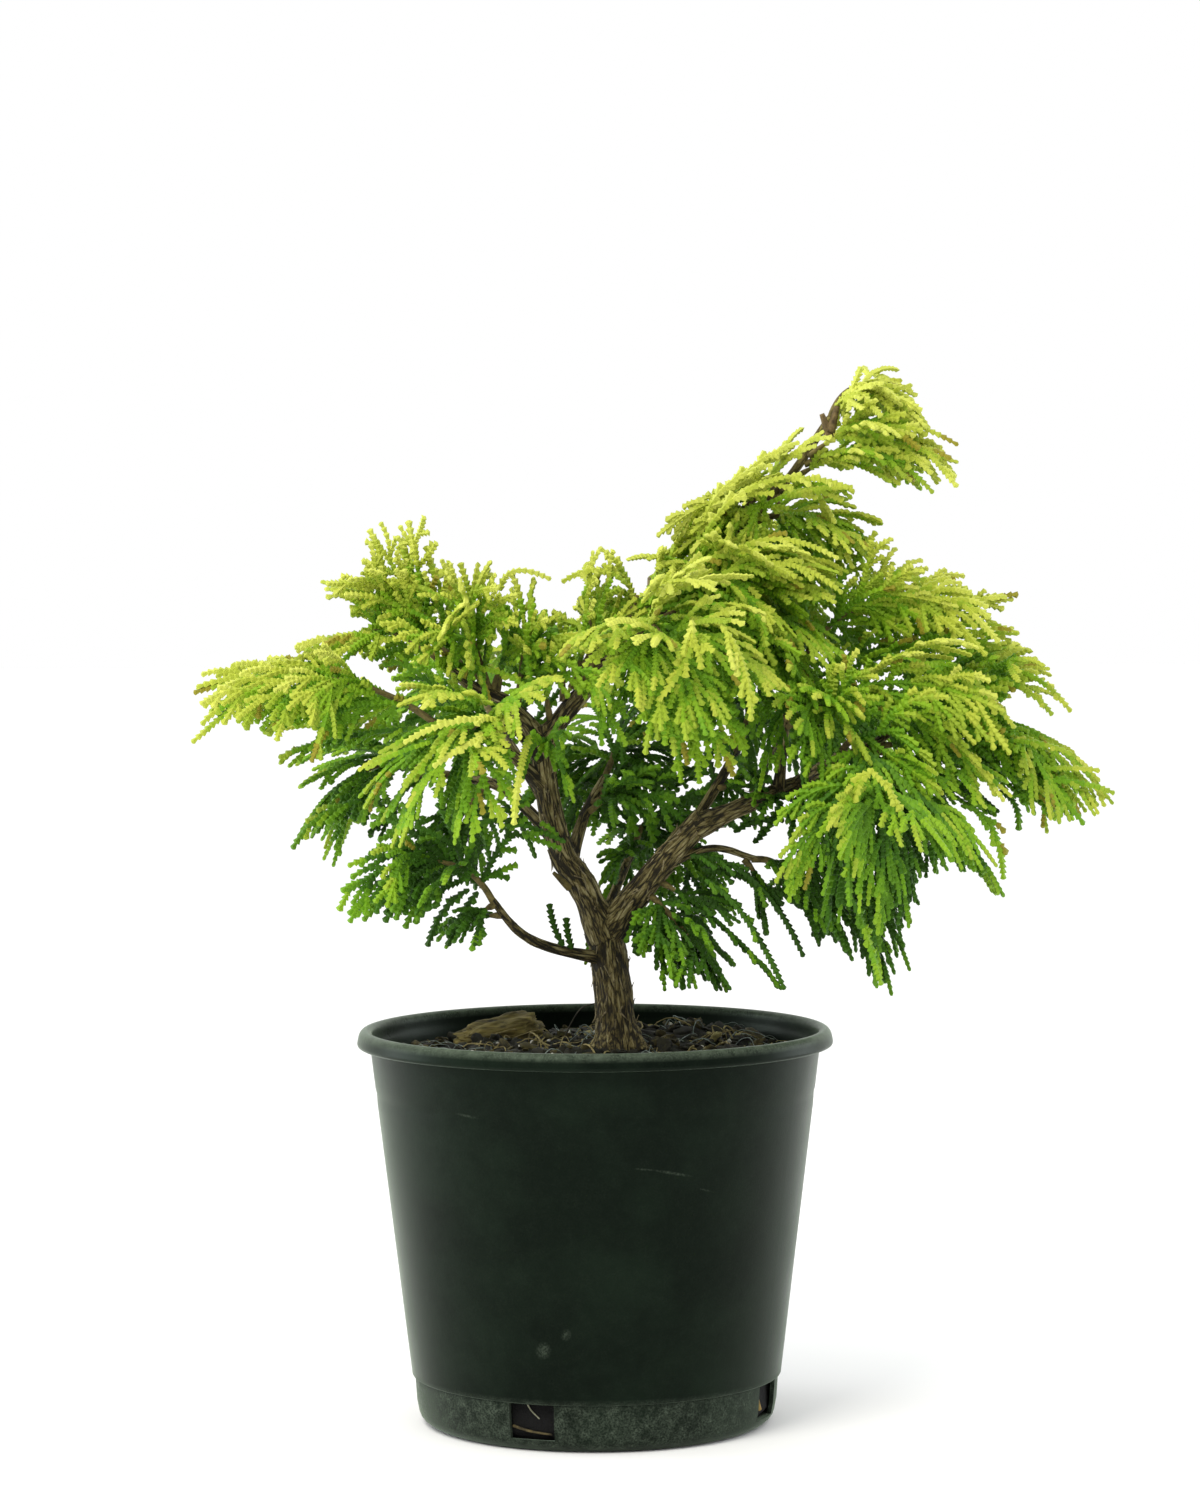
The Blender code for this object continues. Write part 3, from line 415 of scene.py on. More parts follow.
def root_ball():
    """A closed solid of turning: rows go up the inside of the pot and then in over the top as rings."""
    turns = 2 * np.pi * np.arange(SOIL_COLUMNS) / SOIL_COLUMNS
    up = np.linspace(FLOOR_THICK + 0.8, SOIL_TOP - 1.5, SOIL_SIDE_ROWS)
    side = np.where(up < FOOT_HEIGHT, foot_radius(up), wall_radius(up)) - WALL - SOIL_GAP
    side = np.minimum(side, foot_radius(FOOT_ROUND) - WALL - SOIL_GAP - np.maximum(6.0 - up, 0))
    radius = np.concatenate([side, side[-1] * (1 - np.arange(1, SOIL_TOP_ROWS) / SOIL_TOP_ROWS)])
    x, y = radius[:, None] * np.cos(turns), radius[:, None] * np.sin(turns)
    z = np.concatenate([np.repeat(up[:, None], SOIL_COLUMNS, 1), soil_height(x, y)[SOIL_SIDE_ROWS:]])
    points = np.stack([x, y, z], -1)
    inward = 1 - 0.012 * np.abs(noise(points / 5.0, 4))
    points[:SOIL_SIDE_ROWS, :, :2] *= inward[:SOIL_SIDE_ROWS, :, None]
    count = len(radius)
    poles = [[0, 0, FLOOR_THICK + 0.8], [0, 0, float(soil_height(np.zeros(1), np.zeros(1))[0])]]
    faces = [grid_faces(count, SOIL_COLUMNS), pole_faces(0, SOIL_COLUMNS, count * SOIL_COLUMNS, False)]
    faces.append(pole_faces((count - 1) * SOIL_COLUMNS, SOIL_COLUMNS, count * SOIL_COLUMNS + 1, True))
    return np.vstack([points.reshape(-1, 3), poles]), faces


# Bark compost: crumbs of dark humus with lighter bark between them, matt and rough, darker where damp. Below
# the loose top, inside the pot, it is painted near black as shade.
compost, tree, shader, at = finish_of("bark_compost", Roughness=0.95, IOR=1.4)
crumbs = add(tree, "ShaderNodeTexNoise", {"Vector": at, "Scale": 420.0, "Detail": 8.0, "Roughness": 0.7})
damp = add(tree, "ShaderNodeTexNoise", {"Vector": at, "Scale": 60.0, "Detail": 4.0})
both = add(tree, "ShaderNodeMath", {0: crumbs.outputs[0], 1: damp.outputs[0]}, operation="MULTIPLY")
shade = add(tree, "ShaderNodeValToRGB", {0: both.outputs[0]},
            ramp=[(0.16, COMPOST_DARK), (0.30, COMPOST_MID), (0.42, COMPOST_LIGHT)])
bump = add(tree, "ShaderNodeBump", {"Height": crumbs.outputs[0], "Strength": 0.8, "Distance": 0.0012})
# Painted shade: the compost below 122 mm is mixed to near black, and reaches its own colour by 131 mm.
depth = add(tree, "ShaderNodeSeparateXYZ", {0: at}).outputs["Z"]
out_of_painted_shade = add(tree, "ShaderNodeMapRange", {"Value": depth, "From Min": 0.122, "From Max": 0.131})
tone = add(tree, "ShaderNodeMix", {0: out_of_painted_shade.outputs[0], 6: linear(COMPOST_PAINTED_SHADE), 7: shade.outputs[0]},
           data_type="RGBA")
tree.links.new(tone.outputs[2], shader.inputs["Base Color"])
tree.links.new(bump.outputs[0], shader.inputs["Normal"])

soil = mesh_piece("root_ball", *root_ball(), compost)
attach(soil, "root")
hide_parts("soil")

# Bark chips: broken pine bark from 2 to 10 mm, flat flakes with worn corners that lie any way up, and
# one thick piece of bark that rests near the back left of the pot.
CHIP_ROWS, CHIP_COLUMNS = 7, 10
CHIP_WIDTHS, CHIP_DEPTHS, CHIP_ROUGHNESS, CHIP_SQUARENESS = (0.35, 0.8), (0.14, 0.4), 0.32, 0.62
CHIP_KINDS = (("dark_bark_chips", 520, (1.2, 4.2), "#0b0b05", "#242310", 11),
              ("brown_bark_chips", 190, (1.4, 4.8), "#1f1c0b", "#4f4822", 12),
              ("pale_bark_chips", 60, (1.2, 3.4), "#5f582e", "#aba168", 13))
BIG_CHIP_PLACE, BIG_CHIP_SIZE, BIG_CHIP_TURNS = (-36.0, 41.0, 135.2), (16.0, 8.5, 6.6), (0.35, -0.16, 0.12)


def turned_by(angles):
    """Rotation matrices for rows of angles about x, then y, then z."""
    (cx, cy, cz), (sx, sy, sz) = np.cos(angles).T, np.sin(angles).T
    zero, one = np.zeros_like(cx), np.ones_like(cx)
    about_x = np.stack([one, zero, zero, zero, cx, -sx, zero, sx, cx], -1).reshape(-1, 3, 3)
    about_y = np.stack([cy, zero, sy, zero, one, zero, -sy, zero, cy], -1).reshape(-1, 3, 3)
    about_z = np.stack([cz, -sz, zero, sz, cz, zero, zero, zero, one], -1).reshape(-1, 3, 3)
    return about_z @ about_y @ about_x


def pebble_grid(rows, columns, power):
    """A rounded box of half-size 1: a sphere's points with each coordinate raised to a power below 1."""
    around = 2 * np.pi * np.arange(columns) / columns
    rise = np.pi * (np.arange(rows) + 0.5) / rows
    x, y = np.sin(rise)[:, None] * np.cos(around), np.sin(rise)[:, None] * np.sin(around)
    z = np.repeat(-np.cos(rise)[:, None], columns, 1)
    ball = np.stack([x, y, z], -1).reshape(-1, 3)
    ball = np.vstack([ball, [[0, 0, -1]], [[0, 0, 1]]])
    faces = [grid_faces(rows, columns), pole_faces(0, columns, rows * columns, False)]
    faces.append(pole_faces((rows - 1) * columns, columns, rows * columns + 1, True))
    return np.sign(ball) * np.abs(ball) ** power, faces


def scattered(shape, faces, places, sizes, angles, rough, seed):
    """Copies of a shape as one array: each roughened by noise, scaled, turned and placed."""
    own = np.arange(len(places))[:, None, None] * 17.3
    bumpy = shape[None] * (1 + rough * noise(shape[None] * 1.7 + own, seed)[..., None])
    local = bumpy * sizes[:, None, :]
    points = np.einsum("nij,nkj->nki", turned_by(angles), local) + places[:, None]
    shift = np.arange(len(places))[:, None, None] * len(shape)
    return points.reshape(-1, 3), [(group[None] + shift).reshape(-1, group.shape[1]) for group in faces]


def chip_finish(name, dark, light, stretch=(1.0, 1.0, 1.0)):
    """Pine bark: fibrous brown with darker layers, matt. Its layers run along the way that is scaled down."""
    made, tree, shader, at = finish_of(name, Roughness=0.85, IOR=1.45)
    layers = add(tree, "ShaderNodeMapping", {"Vector": at, "Rotation": (0.0, 0.12, 0.1), "Scale": stretch})
    grain = add(tree, "ShaderNodeTexNoise", {"Vector": layers.outputs[0], "Scale": 380.0, "Detail": 6.0,
                                             "Roughness": 0.65})
    tone = add(tree, "ShaderNodeValToRGB", {0: grain.outputs[0]}, ramp=[(0.35, dark), (0.65, light)])
    bump = add(tree, "ShaderNodeBump", {"Height": grain.outputs[0], "Strength": 0.6, "Distance": 0.0006})
    tree.links.new(tone.outputs[0], shader.inputs["Base Color"])
    tree.links.new(bump.outputs[0], shader.inputs["Normal"])
    return made


def on_soil(chance, count, keep_from_wall, keep_from_trunk):
    """Places spread evenly over the soil, off the trunk: radius goes as the root of an even draw."""
    reach = wall_radius(SOIL_TOP) - WALL - keep_from_wall
    radius, turn = reach * np.sqrt(chance.uniform(0, 1, 2 * count)), chance.uniform(0, 2 * np.pi, 2 * count)
    x, y = radius * np.cos(turn), radius * np.sin(turn)
    free = np.hypot(x - TRUNK_FOOT[0], y - TRUNK_FOOT[1]) > keep_from_trunk
    x, y = x[free][:count], y[free][:count]
    return np.stack([x, y, soil_height(x, y)], -1)


for name, count, (small, large), dark, light, seed in CHIP_KINDS:
    chance = np.random.default_rng(seed)
    places = on_soil(chance, count, 5.0, 11.0)
    length = small + (large - small) * chance.uniform(0, 1, len(places)) ** 2
    sizes = np.stack([length, length * chance.uniform(*CHIP_WIDTHS, len(places)),
                      length * chance.uniform(*CHIP_DEPTHS, len(places))], -1)
    angles = np.stack([chance.normal(0, 0.35, len(places)), chance.normal(0, 0.35, len(places)),
                       chance.uniform(0, 2 * np.pi, len(places))], -1)
    places[:, 2] += sizes[:, 2] * 0.35
    shape, faces = pebble_grid(CHIP_ROWS, CHIP_COLUMNS, CHIP_SQUARENESS)
    strewn = scattered(shape, faces, places, sizes, angles, CHIP_ROUGHNESS, seed)
    chips = mesh_piece(name, *strewn, chip_finish(name, dark, light))
    chips.data.set_sharp_from_angle(angle=math.radians(38))
    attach(chips, "root")

shape, faces = pebble_grid(60, 90, 0.72)
chunk_skin = 1 + 0.10 * noise(shape * [1.2, 2.2, 9.0] + 3.0, 21) + 0.14 * noise(shape * 2.4, 22)
chunk_skin += 0.04 * noise(shape * 9.0, 23)
chunk_skin -= 0.10 * np.abs(noise(shape * [0.9, 3.0, 7.0], 24))
wedge = np.stack([np.ones(len(shape)), 0.85 + 0.15 * shape[:, 0], 0.74 + 0.26 * shape[:, 0]], -1)
chunk_turn = turned_by(np.array([BIG_CHIP_TURNS]))[0].T
chunk_points = (shape * wedge * chunk_skin[:, None] * BIG_CHIP_SIZE) @ chunk_turn
chunk_finish = chip_finish("thick_pine_bark", "#201c09", "#83763f", (0.14, 1.0, 1.0))
chunk = mesh_piece("bark_chunk", chunk_points + BIG_CHIP_PLACE, faces, chunk_finish)
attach(chunk, "root")

# Root fibres: dead feeder roots that were teased out of the compost, thin and curled, tan or grey, half
# buried, with one wiry one that leans on the trunk.
FIBRE_STATIONS, FIBRE_SIDES = 12, 5
FIBRE_KINDS = (("tan_root_fibres", 120, (0.16, 0.42), "#5b512a", "#a89b68", 31),
               ("grey_root_fibres", 80, (0.12, 0.28), "#4f5750", "#8f9c94", 32))
WIRY_ROOT = ((-12.5, 16.0, 132.0), (-9.0, 11.0, 141.0), (-4.5, 5.0, 148.0), (3.0, 0.0, 150.5))
WIRY_RADIUS, WIRY_STATIONS, WIRY_SIDES = 0.28, 24, 6


def cross_frames(lines, first):
    """Tangents and two cross directions along rows of lines, each carried on from the last with no twist."""
    tangent = np.gradient(lines, axis=1)
    tangent /= np.linalg.norm(tangent, axis=2, keepdims=True)
    across = np.empty_like(lines)
    carried = first
    for station in range(lines.shape[1]):
        carried = carried - (carried * tangent[:, station]).sum(1, keepdims=True) * tangent[:, station]
        carried = carried / np.linalg.norm(carried, axis=1, keepdims=True)
        across[:, station] = carried
    return tangent, across, np.cross(tangent, across)


def tubes(lines, radii, sides):
    """Round tubes along rows of lines, ends capped: line + radius * (cos u * across + sin u * over)."""
    count, stations, _ = lines.shape
    slanted = np.tile([[0.31, 0.17, 0.93]], (count, 1))
    _, across, over = cross_frames(lines, slanted)
    u = 2 * np.pi * np.arange(sides) / sides
    ring = np.cos(u)[:, None] * across[:, :, None] + np.sin(u)[:, None] * over[:, :, None]
    points = lines[:, :, None] + ring * radii[..., None, None]
    shift = np.arange(count)[:, None, None] * stations * sides
    quads = (grid_faces(stations, sides)[None] + shift).reshape(-1, 4)
    ends = []
    for start, step in ((0, -1), ((stations - 1) * sides, 1)):
        ring_ids = start + np.arange(sides)[::step]
        inner = np.stack([np.full(sides - 2, ring_ids[0]), ring_ids[1:-1], ring_ids[2:]], -1)
        ends.append((inner[None] + shift).reshape(-1, 3))
    return points.reshape(-1, 3), [quads, *ends]


def fibre_lines(chance, places):
    """Curled lines: each sets off along the soil, turns by a steady curl, and humps up and down again."""
    count = len(places)
    share = np.linspace(0, 1, FIBRE_STATIONS)[None]
    length = chance.uniform(5, 26, count)[:, None]
    turn = chance.uniform(0, 2 * np.pi, count)[:, None] + chance.normal(0, 2.2, count)[:, None] * share
    steps = length / FIBRE_STATIONS
    x = places[:, :1] + np.cumsum(np.cos(turn) * steps, axis=1)
    y = places[:, 1:2] + np.cumsum(np.sin(turn) * steps, axis=1)
    high = chance.uniform(0.6, 5.0, count)[:, None]
    hump = high * np.sin(np.pi * share * chance.uniform(0.8, 1.3, count)[:, None])
    away = np.hypot(x, y)
    reach = wall_radius(SOIL_TOP) - WALL - 2.0
    pull = np.minimum(1, reach / np.maximum(away, 1e-6))
    return np.stack([x * pull, y * pull, soil_height(x * pull, y * pull) - 0.5 + hump], -1)


for name, count, (thin, thick), dark, light, seed in FIBRE_KINDS:
    chance = np.random.default_rng(seed)
    places = on_soil(chance, count, 12.0, 9.0)
    lines = fibre_lines(chance, places)
    girth = chance.uniform(thin, thick, len(lines))[:, None] * (1 - 0.55 * np.linspace(0, 1, FIBRE_STATIONS))
    fibres = mesh_piece(name, *tubes(lines, girth, FIBRE_SIDES), chip_finish(name, dark, light))
    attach(fibres, "root")

wiry = smooth_line(WIRY_ROOT, WIRY_STATIONS)[None]
wiry_girth = np.full((1, WIRY_STATIONS), WIRY_RADIUS)
wiry_root = mesh_piece("wiry_root", *tubes(wiry, wiry_girth, WIRY_SIDES),
                       chip_finish("dark_root", "#1d1a12", "#3a3626"))
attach(wiry_root, "root")

# Litter in the drain slots: a pale root and a rotten twig in the front one, a chip of bark in the right one.
# Each row is its way points, its radius at both ends and its two colours.
SLOT_LITTER = (
    (((-24.2, -58.2, 17.0), (-22.6, -58.4, 14.4), (-19.8, -58.8, 11.6)), (0.28, 0.22), "#6d6f58", "#a0a18a"),
    (((-29.0, -55.4, 8.6), (-23.0, -58.2, 7.2), (-15.4, -60.8, 6.4)), (0.55, 0.35), "#2a2412", "#5d5230"),
    (((56.2, -27.6, 15.0), (56.6, -27.2, 11.5), (57.2, -26.4, 8.2)), (0.7, 1.3), "#54451f", "#a58b4d"),
)
LITTER_STATIONS, LITTER_SIDES = 14, 7
for number, (way, girth, dark, light) in enumerate(SLOT_LITTER):
    litter_line = smooth_line(way, LITTER_STATIONS)[None]
    litter_girth = np.linspace(*girth, LITTER_STATIONS)[None]
    litter = mesh_piece(f"slot_litter_{number + 1}", *tubes(litter_line, litter_girth, LITTER_SIDES),
                        chip_finish(f"slot_litter_{number + 1}", dark, light))
    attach(litter, "root")

# Grit: a few white grains of lime and perlite on the compost, under 2 mm across, angular and dull.
GRIT_COUNT = 90
chance = np.random.default_rng(41)
places = on_soil(chance, GRIT_COUNT, 3.0, 9.0)
grit_size = chance.uniform(0.3, 0.95, (len(places), 1)) * chance.uniform(0.6, 1.0, (len(places), 3))
places[:, 2] += 0.5
shape, faces = pebble_grid(4, 6, 0.7)
limestone, *_ = finish_of("lime_grit", Base_Color="#c9c7bb", Roughness=0.8)
grit_angles = chance.uniform(0, 6, (len(places), 3))
strewn = scattered(shape, faces, places, grit_size, grit_angles, 0.3, 42)
grit = mesh_piece("white_grit", *strewn, limestone, smooth=False)
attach(grit, "root")

# Trunk and boughs: living wood under fibrous bark that peels in long strips. Each limb grows out of its
# parent with a swollen collar, tapers evenly, and bends as the plant was left to grow.
LIMBS = (
    ("trunk", None, 0.0, (TRUNK_FOOT, (7, 0, 150), (5, 0, 166), (3, 0, 181)), 7.2, 6.3, 12, 9),
    ("left_stem", "trunk", 0.84, ((-4, -3, 192), (-12, -5, 206), (-17, -7, 228), (-19, -8, 250)),
     5.4, 4.0, 10, 9),
    ("right_stem", "trunk", 0.86, ((15, -4, 189), (26, -8, 203), (39, -9, 217)), 5.3, 4.2, 10, 8),
    ("leader", "left_stem", 0.93, ((-2, -9, 264), (17, -4, 283), (39, 3, 309), (67, 6, 334), (85, 8, 359)),
     3.7, 1.3, 8, 13),
    ("left_upper", "left_stem", 0.94, ((-30, -12, 258), (-42, -15, 264), (-52, -16, 271)), 3.1, 1.6, 8, 6),
    ("left_far", "left_stem", 0.74, ((-32, -18, 243), (-44, -22, 248), (-56, -24, 252)), 2.6, 1.4, 6, 5),
    ("left_mid", "left_stem", 0.52, ((-32, 14, 226), (-48, 22, 230), (-60, 26, 232)), 2.5, 1.3, 6, 5),
    ("left_low", "trunk", 0.66, ((-15, -12, 171), (-27, -20, 178), (-36, -22, 189)), 2.3, 1.3, 6, 6),
    ("mid_back", "left_stem", 0.40, ((-3, 10, 218), (4, 22, 230)), 2.6, 1.5, 6, 5),
    ("centre_back", "trunk", 0.97, ((9, 16, 193), (14, 26, 203)), 2.2, 1.3, 6, 4),
    ("right_main", "right_stem", 0.92, ((55, -8, 222), (73, 0, 229), (92, 8, 238), (104, 11, 244)),
     3.8, 1.6, 8, 8),
    ("right_upper", "right_stem", 0.84, ((46, 4, 231), (53, 14, 243)), 2.3, 1.4, 6, 5),
    ("right_riser", "right_main", 0.40, ((67, -8, 240), (68, -8, 252), (71, -5, 262)), 2.1, 1.3, 6, 5),
    ("right_low", "right_stem", 0.55, ((41, -8, 206), (58, -6, 202)), 1.7, 1.1, 6, 5),
    ("right_front", "right_main", 0.50, ((80, -22, 236), (86, -36, 241)), 2.0, 1.2, 6, 5),
    ("right_back", "right_main", 0.28, ((63, 28, 235), (70, 50, 243)), 2.2, 1.3, 6, 5),
    ("left_back", "left_stem", 0.66, ((-30, 24, 241), (-37, 44, 250)), 2.4, 1.3, 6, 5),
    ("left_front", "left_stem", 0.85, ((-28, -28, 250), (-33, -42, 252)), 2.0, 1.2, 6, 4),
    ("crown_back", "leader", 0.24, ((20, 26, 280), (24, 46, 283)), 2.2, 1.3, 6, 5),
    ("crown_front", "leader", 0.20, ((12, -28, 280), (16, -42, 283)), 2.0, 1.2, 6, 4),
)
FLARE_HEIGHT, FLARE_SHARE = 12.0, 0.42
BARK_STEP, BARK_DEPTH, TAPER = 0.55, 0.085, 0.8
# BARK_DARK is partly painted shade for the cracks, and BARK_PALE partly a painted highlight on the raised
# strips.
BARK_DARK, BARK_MID, BARK_LIGHT, BARK_PALE = "#25200d", "#675b31", "#9a8e5f", "#bcb184"
YOUNG_DARK, YOUNG_LIGHT, YOUNG_BELOW, YOUNG_SPAN = "#574d22", "#a0944e", 3.2, 1.2
YOUNG_FROM, YOUNG_RISE = 285.0, 25.0


def point_on(line, fraction):
    """The point at a share of a line's stations, straight between them."""
    at = fraction * (len(line) - 1)
    low = min(int(at), len(line) - 2)
    return line[low] + (line[low + 1] - line[low]) * (at - low)


def limb_lines():
    """Each limb's stations and radii: from base to tip, the radius goes as the share to the power TAPER."""
    lines = {}
    for name, parent, fraction, way, base_radius, tip_radius, _, stations in LIMBS:
        start = [] if parent is None else [point_on(lines[parent][0], fraction)]
        share = np.linspace(0, 1, stations)
        radii = base_radius + (tip_radius - base_radius) * share**TAPER
        lines[name] = (smooth_line([*start, *way], stations), radii)
    return lines


def bark_relief(along, around, girth, seed):
    """Height of the bark from 0 to 1 over a limb's surface.

    It is one minus the absolute value of noise stretched twelve times along the limb, which gives strips
    parted by cracks, plus finer fibres, less the steps where a strip has peeled off.
    """
    wrap = np.stack([np.cos(around) * girth, np.sin(around) * girth, along + 0 * around], -1)
    wander = 0.9 * noise(wrap * [0.16, 0.16, 0.07], seed + 3)
    twisted = around + 0.03 * along + wander * 0.5
    sheet = np.stack([np.cos(twisted) * girth, np.sin(twisted) * girth, along + 0 * around], -1)
    strips = 1 - np.abs(noise(sheet * [0.62, 0.62, 0.085], seed))
    fibres = 1 - np.abs(noise(sheet * [1.7, 1.7, 0.22], seed + 1))
    peeled = np.clip(4 * noise(sheet * [0.33, 0.33, 0.16], seed + 2), -0.5, 0.5)
    return np.clip(0.55 * strips**2 + 0.35 * fibres**1.5 + 0.25 * peeled, 0, 1.3)


def bark_limb(name, way, base_radius, tip_radius, columns, seed, rooted=False):
    """A limb's skin: its line + (radius with collar or flare + relief) * (cos u * across + sin u * over)."""
    coarse = smooth_line(way, 200)
    length = np.linalg.norm(np.diff(coarse, axis=0), axis=1).sum()
    rows = max(12, int(length / BARK_STEP))
    line = smooth_line(way, rows)
    share = np.linspace(0, 1, rows)
    along = share * length
    radius = base_radius + (tip_radius - base_radius) * share**TAPER
    u = 2 * np.pi * np.arange(columns) / columns
    _, across, over = cross_frames(line[None], np.array([[1.0, 0.05, 0.0]]))
    across, over = across[0], over[0]
    if rooted:
        across[:3], over[:3] = across[3], np.cross(UP, across[3])
    swell = np.ones((rows, columns))
    if rooted:
        rise = (line[:, 2] - line[0, 2])[:, None]
        lobes = 1 + 0.55 * np.cos(3 * u + 0.8) + 0.3 * np.cos(5 * u + 2.0)
        swell += FLARE_SHARE * np.clip(1 - rise / FLARE_HEIGHT, 0, 1) ** 1.8 * lobes
    else:
        swell += 0.28 * np.exp(-((along / (1.9 * base_radius)) ** 2))[:, None]
    girth = radius[:, None] * swell
    relief = bark_relief(along[:, None], u[None], np.maximum(girth, 1.2), seed)
    depth = 0.16 + BARK_DEPTH * radius[:, None]
    knots = 0.06 * noise(np.stack([np.cos(u) + 0 * along[:, None], np.sin(u) + 0 * along[:, None],
                                   along[:, None] / 7.0 + 0 * u], -1) + seed, seed + 5)
    skin = girth * (1 + knots) + depth * (relief - 0.55)
    outward = np.cos(u)[:, None] * across[:, None] + np.sin(u)[:, None] * over[:, None]
    points = line[:, None] + skin[..., None] * outward
    poles = np.vstack([line[0], line[-1] + (line[-1] - line[-2]) * 0.8])
    total = rows * columns
    faces = [grid_faces(rows, columns), pole_faces(0, columns, total, False)]
    faces.append(pole_faces((rows - 1) * columns, columns, total + 1, True))
    made = mesh_piece(name, np.vstack([points.reshape(-1, 3), poles]), faces, bark_skin)
    tint = made.data.attributes.new("relief", "FLOAT", "POINT")
    tint.data.foreach_set("value", np.append(relief.ravel(), [0.5, 0.5]).astype(np.float32))
    round_skin = np.stack([np.cos(u) * girth, np.sin(u) * girth, along[:, None] + 0 * u], -1).reshape(-1, 3)
    grain = made.data.attributes.new("grain", "FLOAT_VECTOR", "POINT")
    grain.data.foreach_set("vector", np.vstack([round_skin, round_skin[[0, -1]]]).astype(np.float32).ravel())
    young = np.clip((YOUNG_BELOW - girth) / YOUNG_SPAN, 0, 1)
    young = (young * np.clip((line[:, 2:] - YOUNG_FROM) / YOUNG_RISE, 0, 1)).ravel()
    youth = made.data.attributes.new("youth", "FLOAT", "POINT")
    youth.data.foreach_set("value", np.append(young, young[[0, -1]]).astype(np.float32))
    return made


# Fibrous bark: grey-brown strips with reddish-brown cracks between them, quite matt. The colour follows the
# relief, so the dark of the cracks and the flakes' edges is painted shade as well as darker bark, and the
# pale of the strips' highest faces is a painted highlight as well as wear. Fibre and flake tones that differ
# at random lie on top.
bark_skin, tree, shader, at = finish_of("fibrous_bark", Roughness=0.82, IOR=1.45)
relief = add(tree, "ShaderNodeAttribute", attribute_name="relief").outputs["Fac"]
grain = add(tree, "ShaderNodeAttribute", attribute_name="grain").outputs["Vector"]
stretched = add(tree, "ShaderNodeMapping", {"Vector": grain, "Scale": (1.0, 1.0, 0.16)})
fibre = add(tree, "ShaderNodeTexNoise", {"Vector": stretched.outputs[0], "Scale": 1.5, "Detail": 6.0,
                                         "Roughness": 0.72, "Distortion": 0.5})
mottle = add(tree, "ShaderNodeTexNoise", {"Vector": at, "Scale": 120.0, "Detail": 5.0, "Roughness": 0.65})
ragged = add(tree, "ShaderNodeMapRange", {"Value": fibre.outputs[0], "From Min": 0.3, "From Max": 0.7,
                                          "To Min": -0.5, "To Max": 0.5})
uneven = add(tree, "ShaderNodeMapRange", {"Value": mottle.outputs[0], "From Min": 0.3, "From Max": 0.7,
                                          "To Min": -0.14, "To Max": 0.14})
warp = add(tree, "ShaderNodeTexNoise", {"Vector": stretched.outputs[0], "Scale": 0.9, "Detail": 3.0})
bent = add(tree, "ShaderNodeVectorMath", {0: warp.outputs["Color"], 1: stretched.outputs[0]}, operation="ADD")
cracks = add(tree, "ShaderNodeTexVoronoi", {"Vector": bent.outputs[0], "Scale": 0.62},
             feature="DISTANCE_TO_EDGE")
flakes = add(tree, "ShaderNodeTexVoronoi", {"Vector": bent.outputs[0], "Scale": 0.62}, feature="F1")
flake = add(tree, "ShaderNodeSeparateXYZ", {0: flakes.outputs["Color"]}).outputs["X"]
# Painted shade: the bark darkens towards the edges of the flakes, where the cracks run.
painted_crack_shade = add(tree, "ShaderNodeMapRange", {"Value": cracks.outputs["Distance"], "From Min": 0.0,
                                         "From Max": 0.16, "To Min": -0.55, "To Max": 0.10})
worn = add(tree, "ShaderNodeMapRange", {"Value": flake, "To Min": -0.22, "To Max": 0.22})
both = add(tree, "ShaderNodeMath", {0: ragged.outputs[0], 1: uneven.outputs[0]}, operation="ADD")
plates = add(tree, "ShaderNodeMath", {0: painted_crack_shade.outputs[0], 1: worn.outputs[0]}, operation="ADD")
rough = add(tree, "ShaderNodeMath", {0: both.outputs[0], 1: plates.outputs[0]}, operation="ADD")
level = add(tree, "ShaderNodeMath", {0: relief, 1: rough.outputs[0]}, operation="ADD")
share = add(tree, "ShaderNodeMapRange", {"Value": level.outputs[0], "From Min": -0.1, "From Max": 1.5})
# The ramp's darkest stop is painted shade in the low relief, and its palest stop a painted highlight on the
# high relief.
tone = add(tree, "ShaderNodeValToRGB", {0: share.outputs[0]},
           ramp=[(0.15, BARK_DARK), (0.38, BARK_MID), (0.64, BARK_LIGHT), (0.9, BARK_PALE)])
green_wood = add(tree, "ShaderNodeValToRGB", {0: share.outputs[0]},
                 ramp=[(0.15, YOUNG_DARK), (0.7, YOUNG_LIGHT)])
youth = add(tree, "ShaderNodeAttribute", attribute_name="youth").outputs["Fac"]
skin_tone = add(tree, "ShaderNodeMix", {0: youth, 6: tone.outputs[0], 7: green_wood.outputs[0]},
                data_type="RGBA")
bump = add(tree, "ShaderNodeBump", {"Height": level.outputs[0], "Strength": 0.9, "Distance": 0.0007})
tree.links.new(skin_tone.outputs[2], shader.inputs["Base Color"])
tree.links.new(bump.outputs[0], shader.inputs["Normal"])

lines = limb_lines()
for number, (name, parent, fraction, way, base_radius, tip_radius, sides, _) in enumerate(LIMBS):
    start = [] if parent is None else [point_on(lines[parent][0], fraction)]
    columns = 8 * sides if base_radius > 3 else 5 * sides
    limb = bark_limb(name + "_bark", [*start, *way], base_radius, tip_radius, columns, 60 + number,
                     parent is None)
    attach(limb, "root")
    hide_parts(name)

# Bark peels: thin curls of dead outer bark that have let go at one end, all along the trunk and the
# thick boughs.
PEELS = (("trunk", 90), ("left_stem", 70), ("right_stem", 50), ("right_main", 36), ("leader", 30))
PEEL_STATIONS, PEEL_LENGTHS, PEEL_LIFTS, PEEL_GIRTH = 8, (1.8, 5.5), (0.05, 0.42), (0.34, 0.10)


def unit(vector):
    """Vectors of length 1, along the last axis."""
    return vector / np.linalg.norm(vector, axis=-1, keepdims=True)


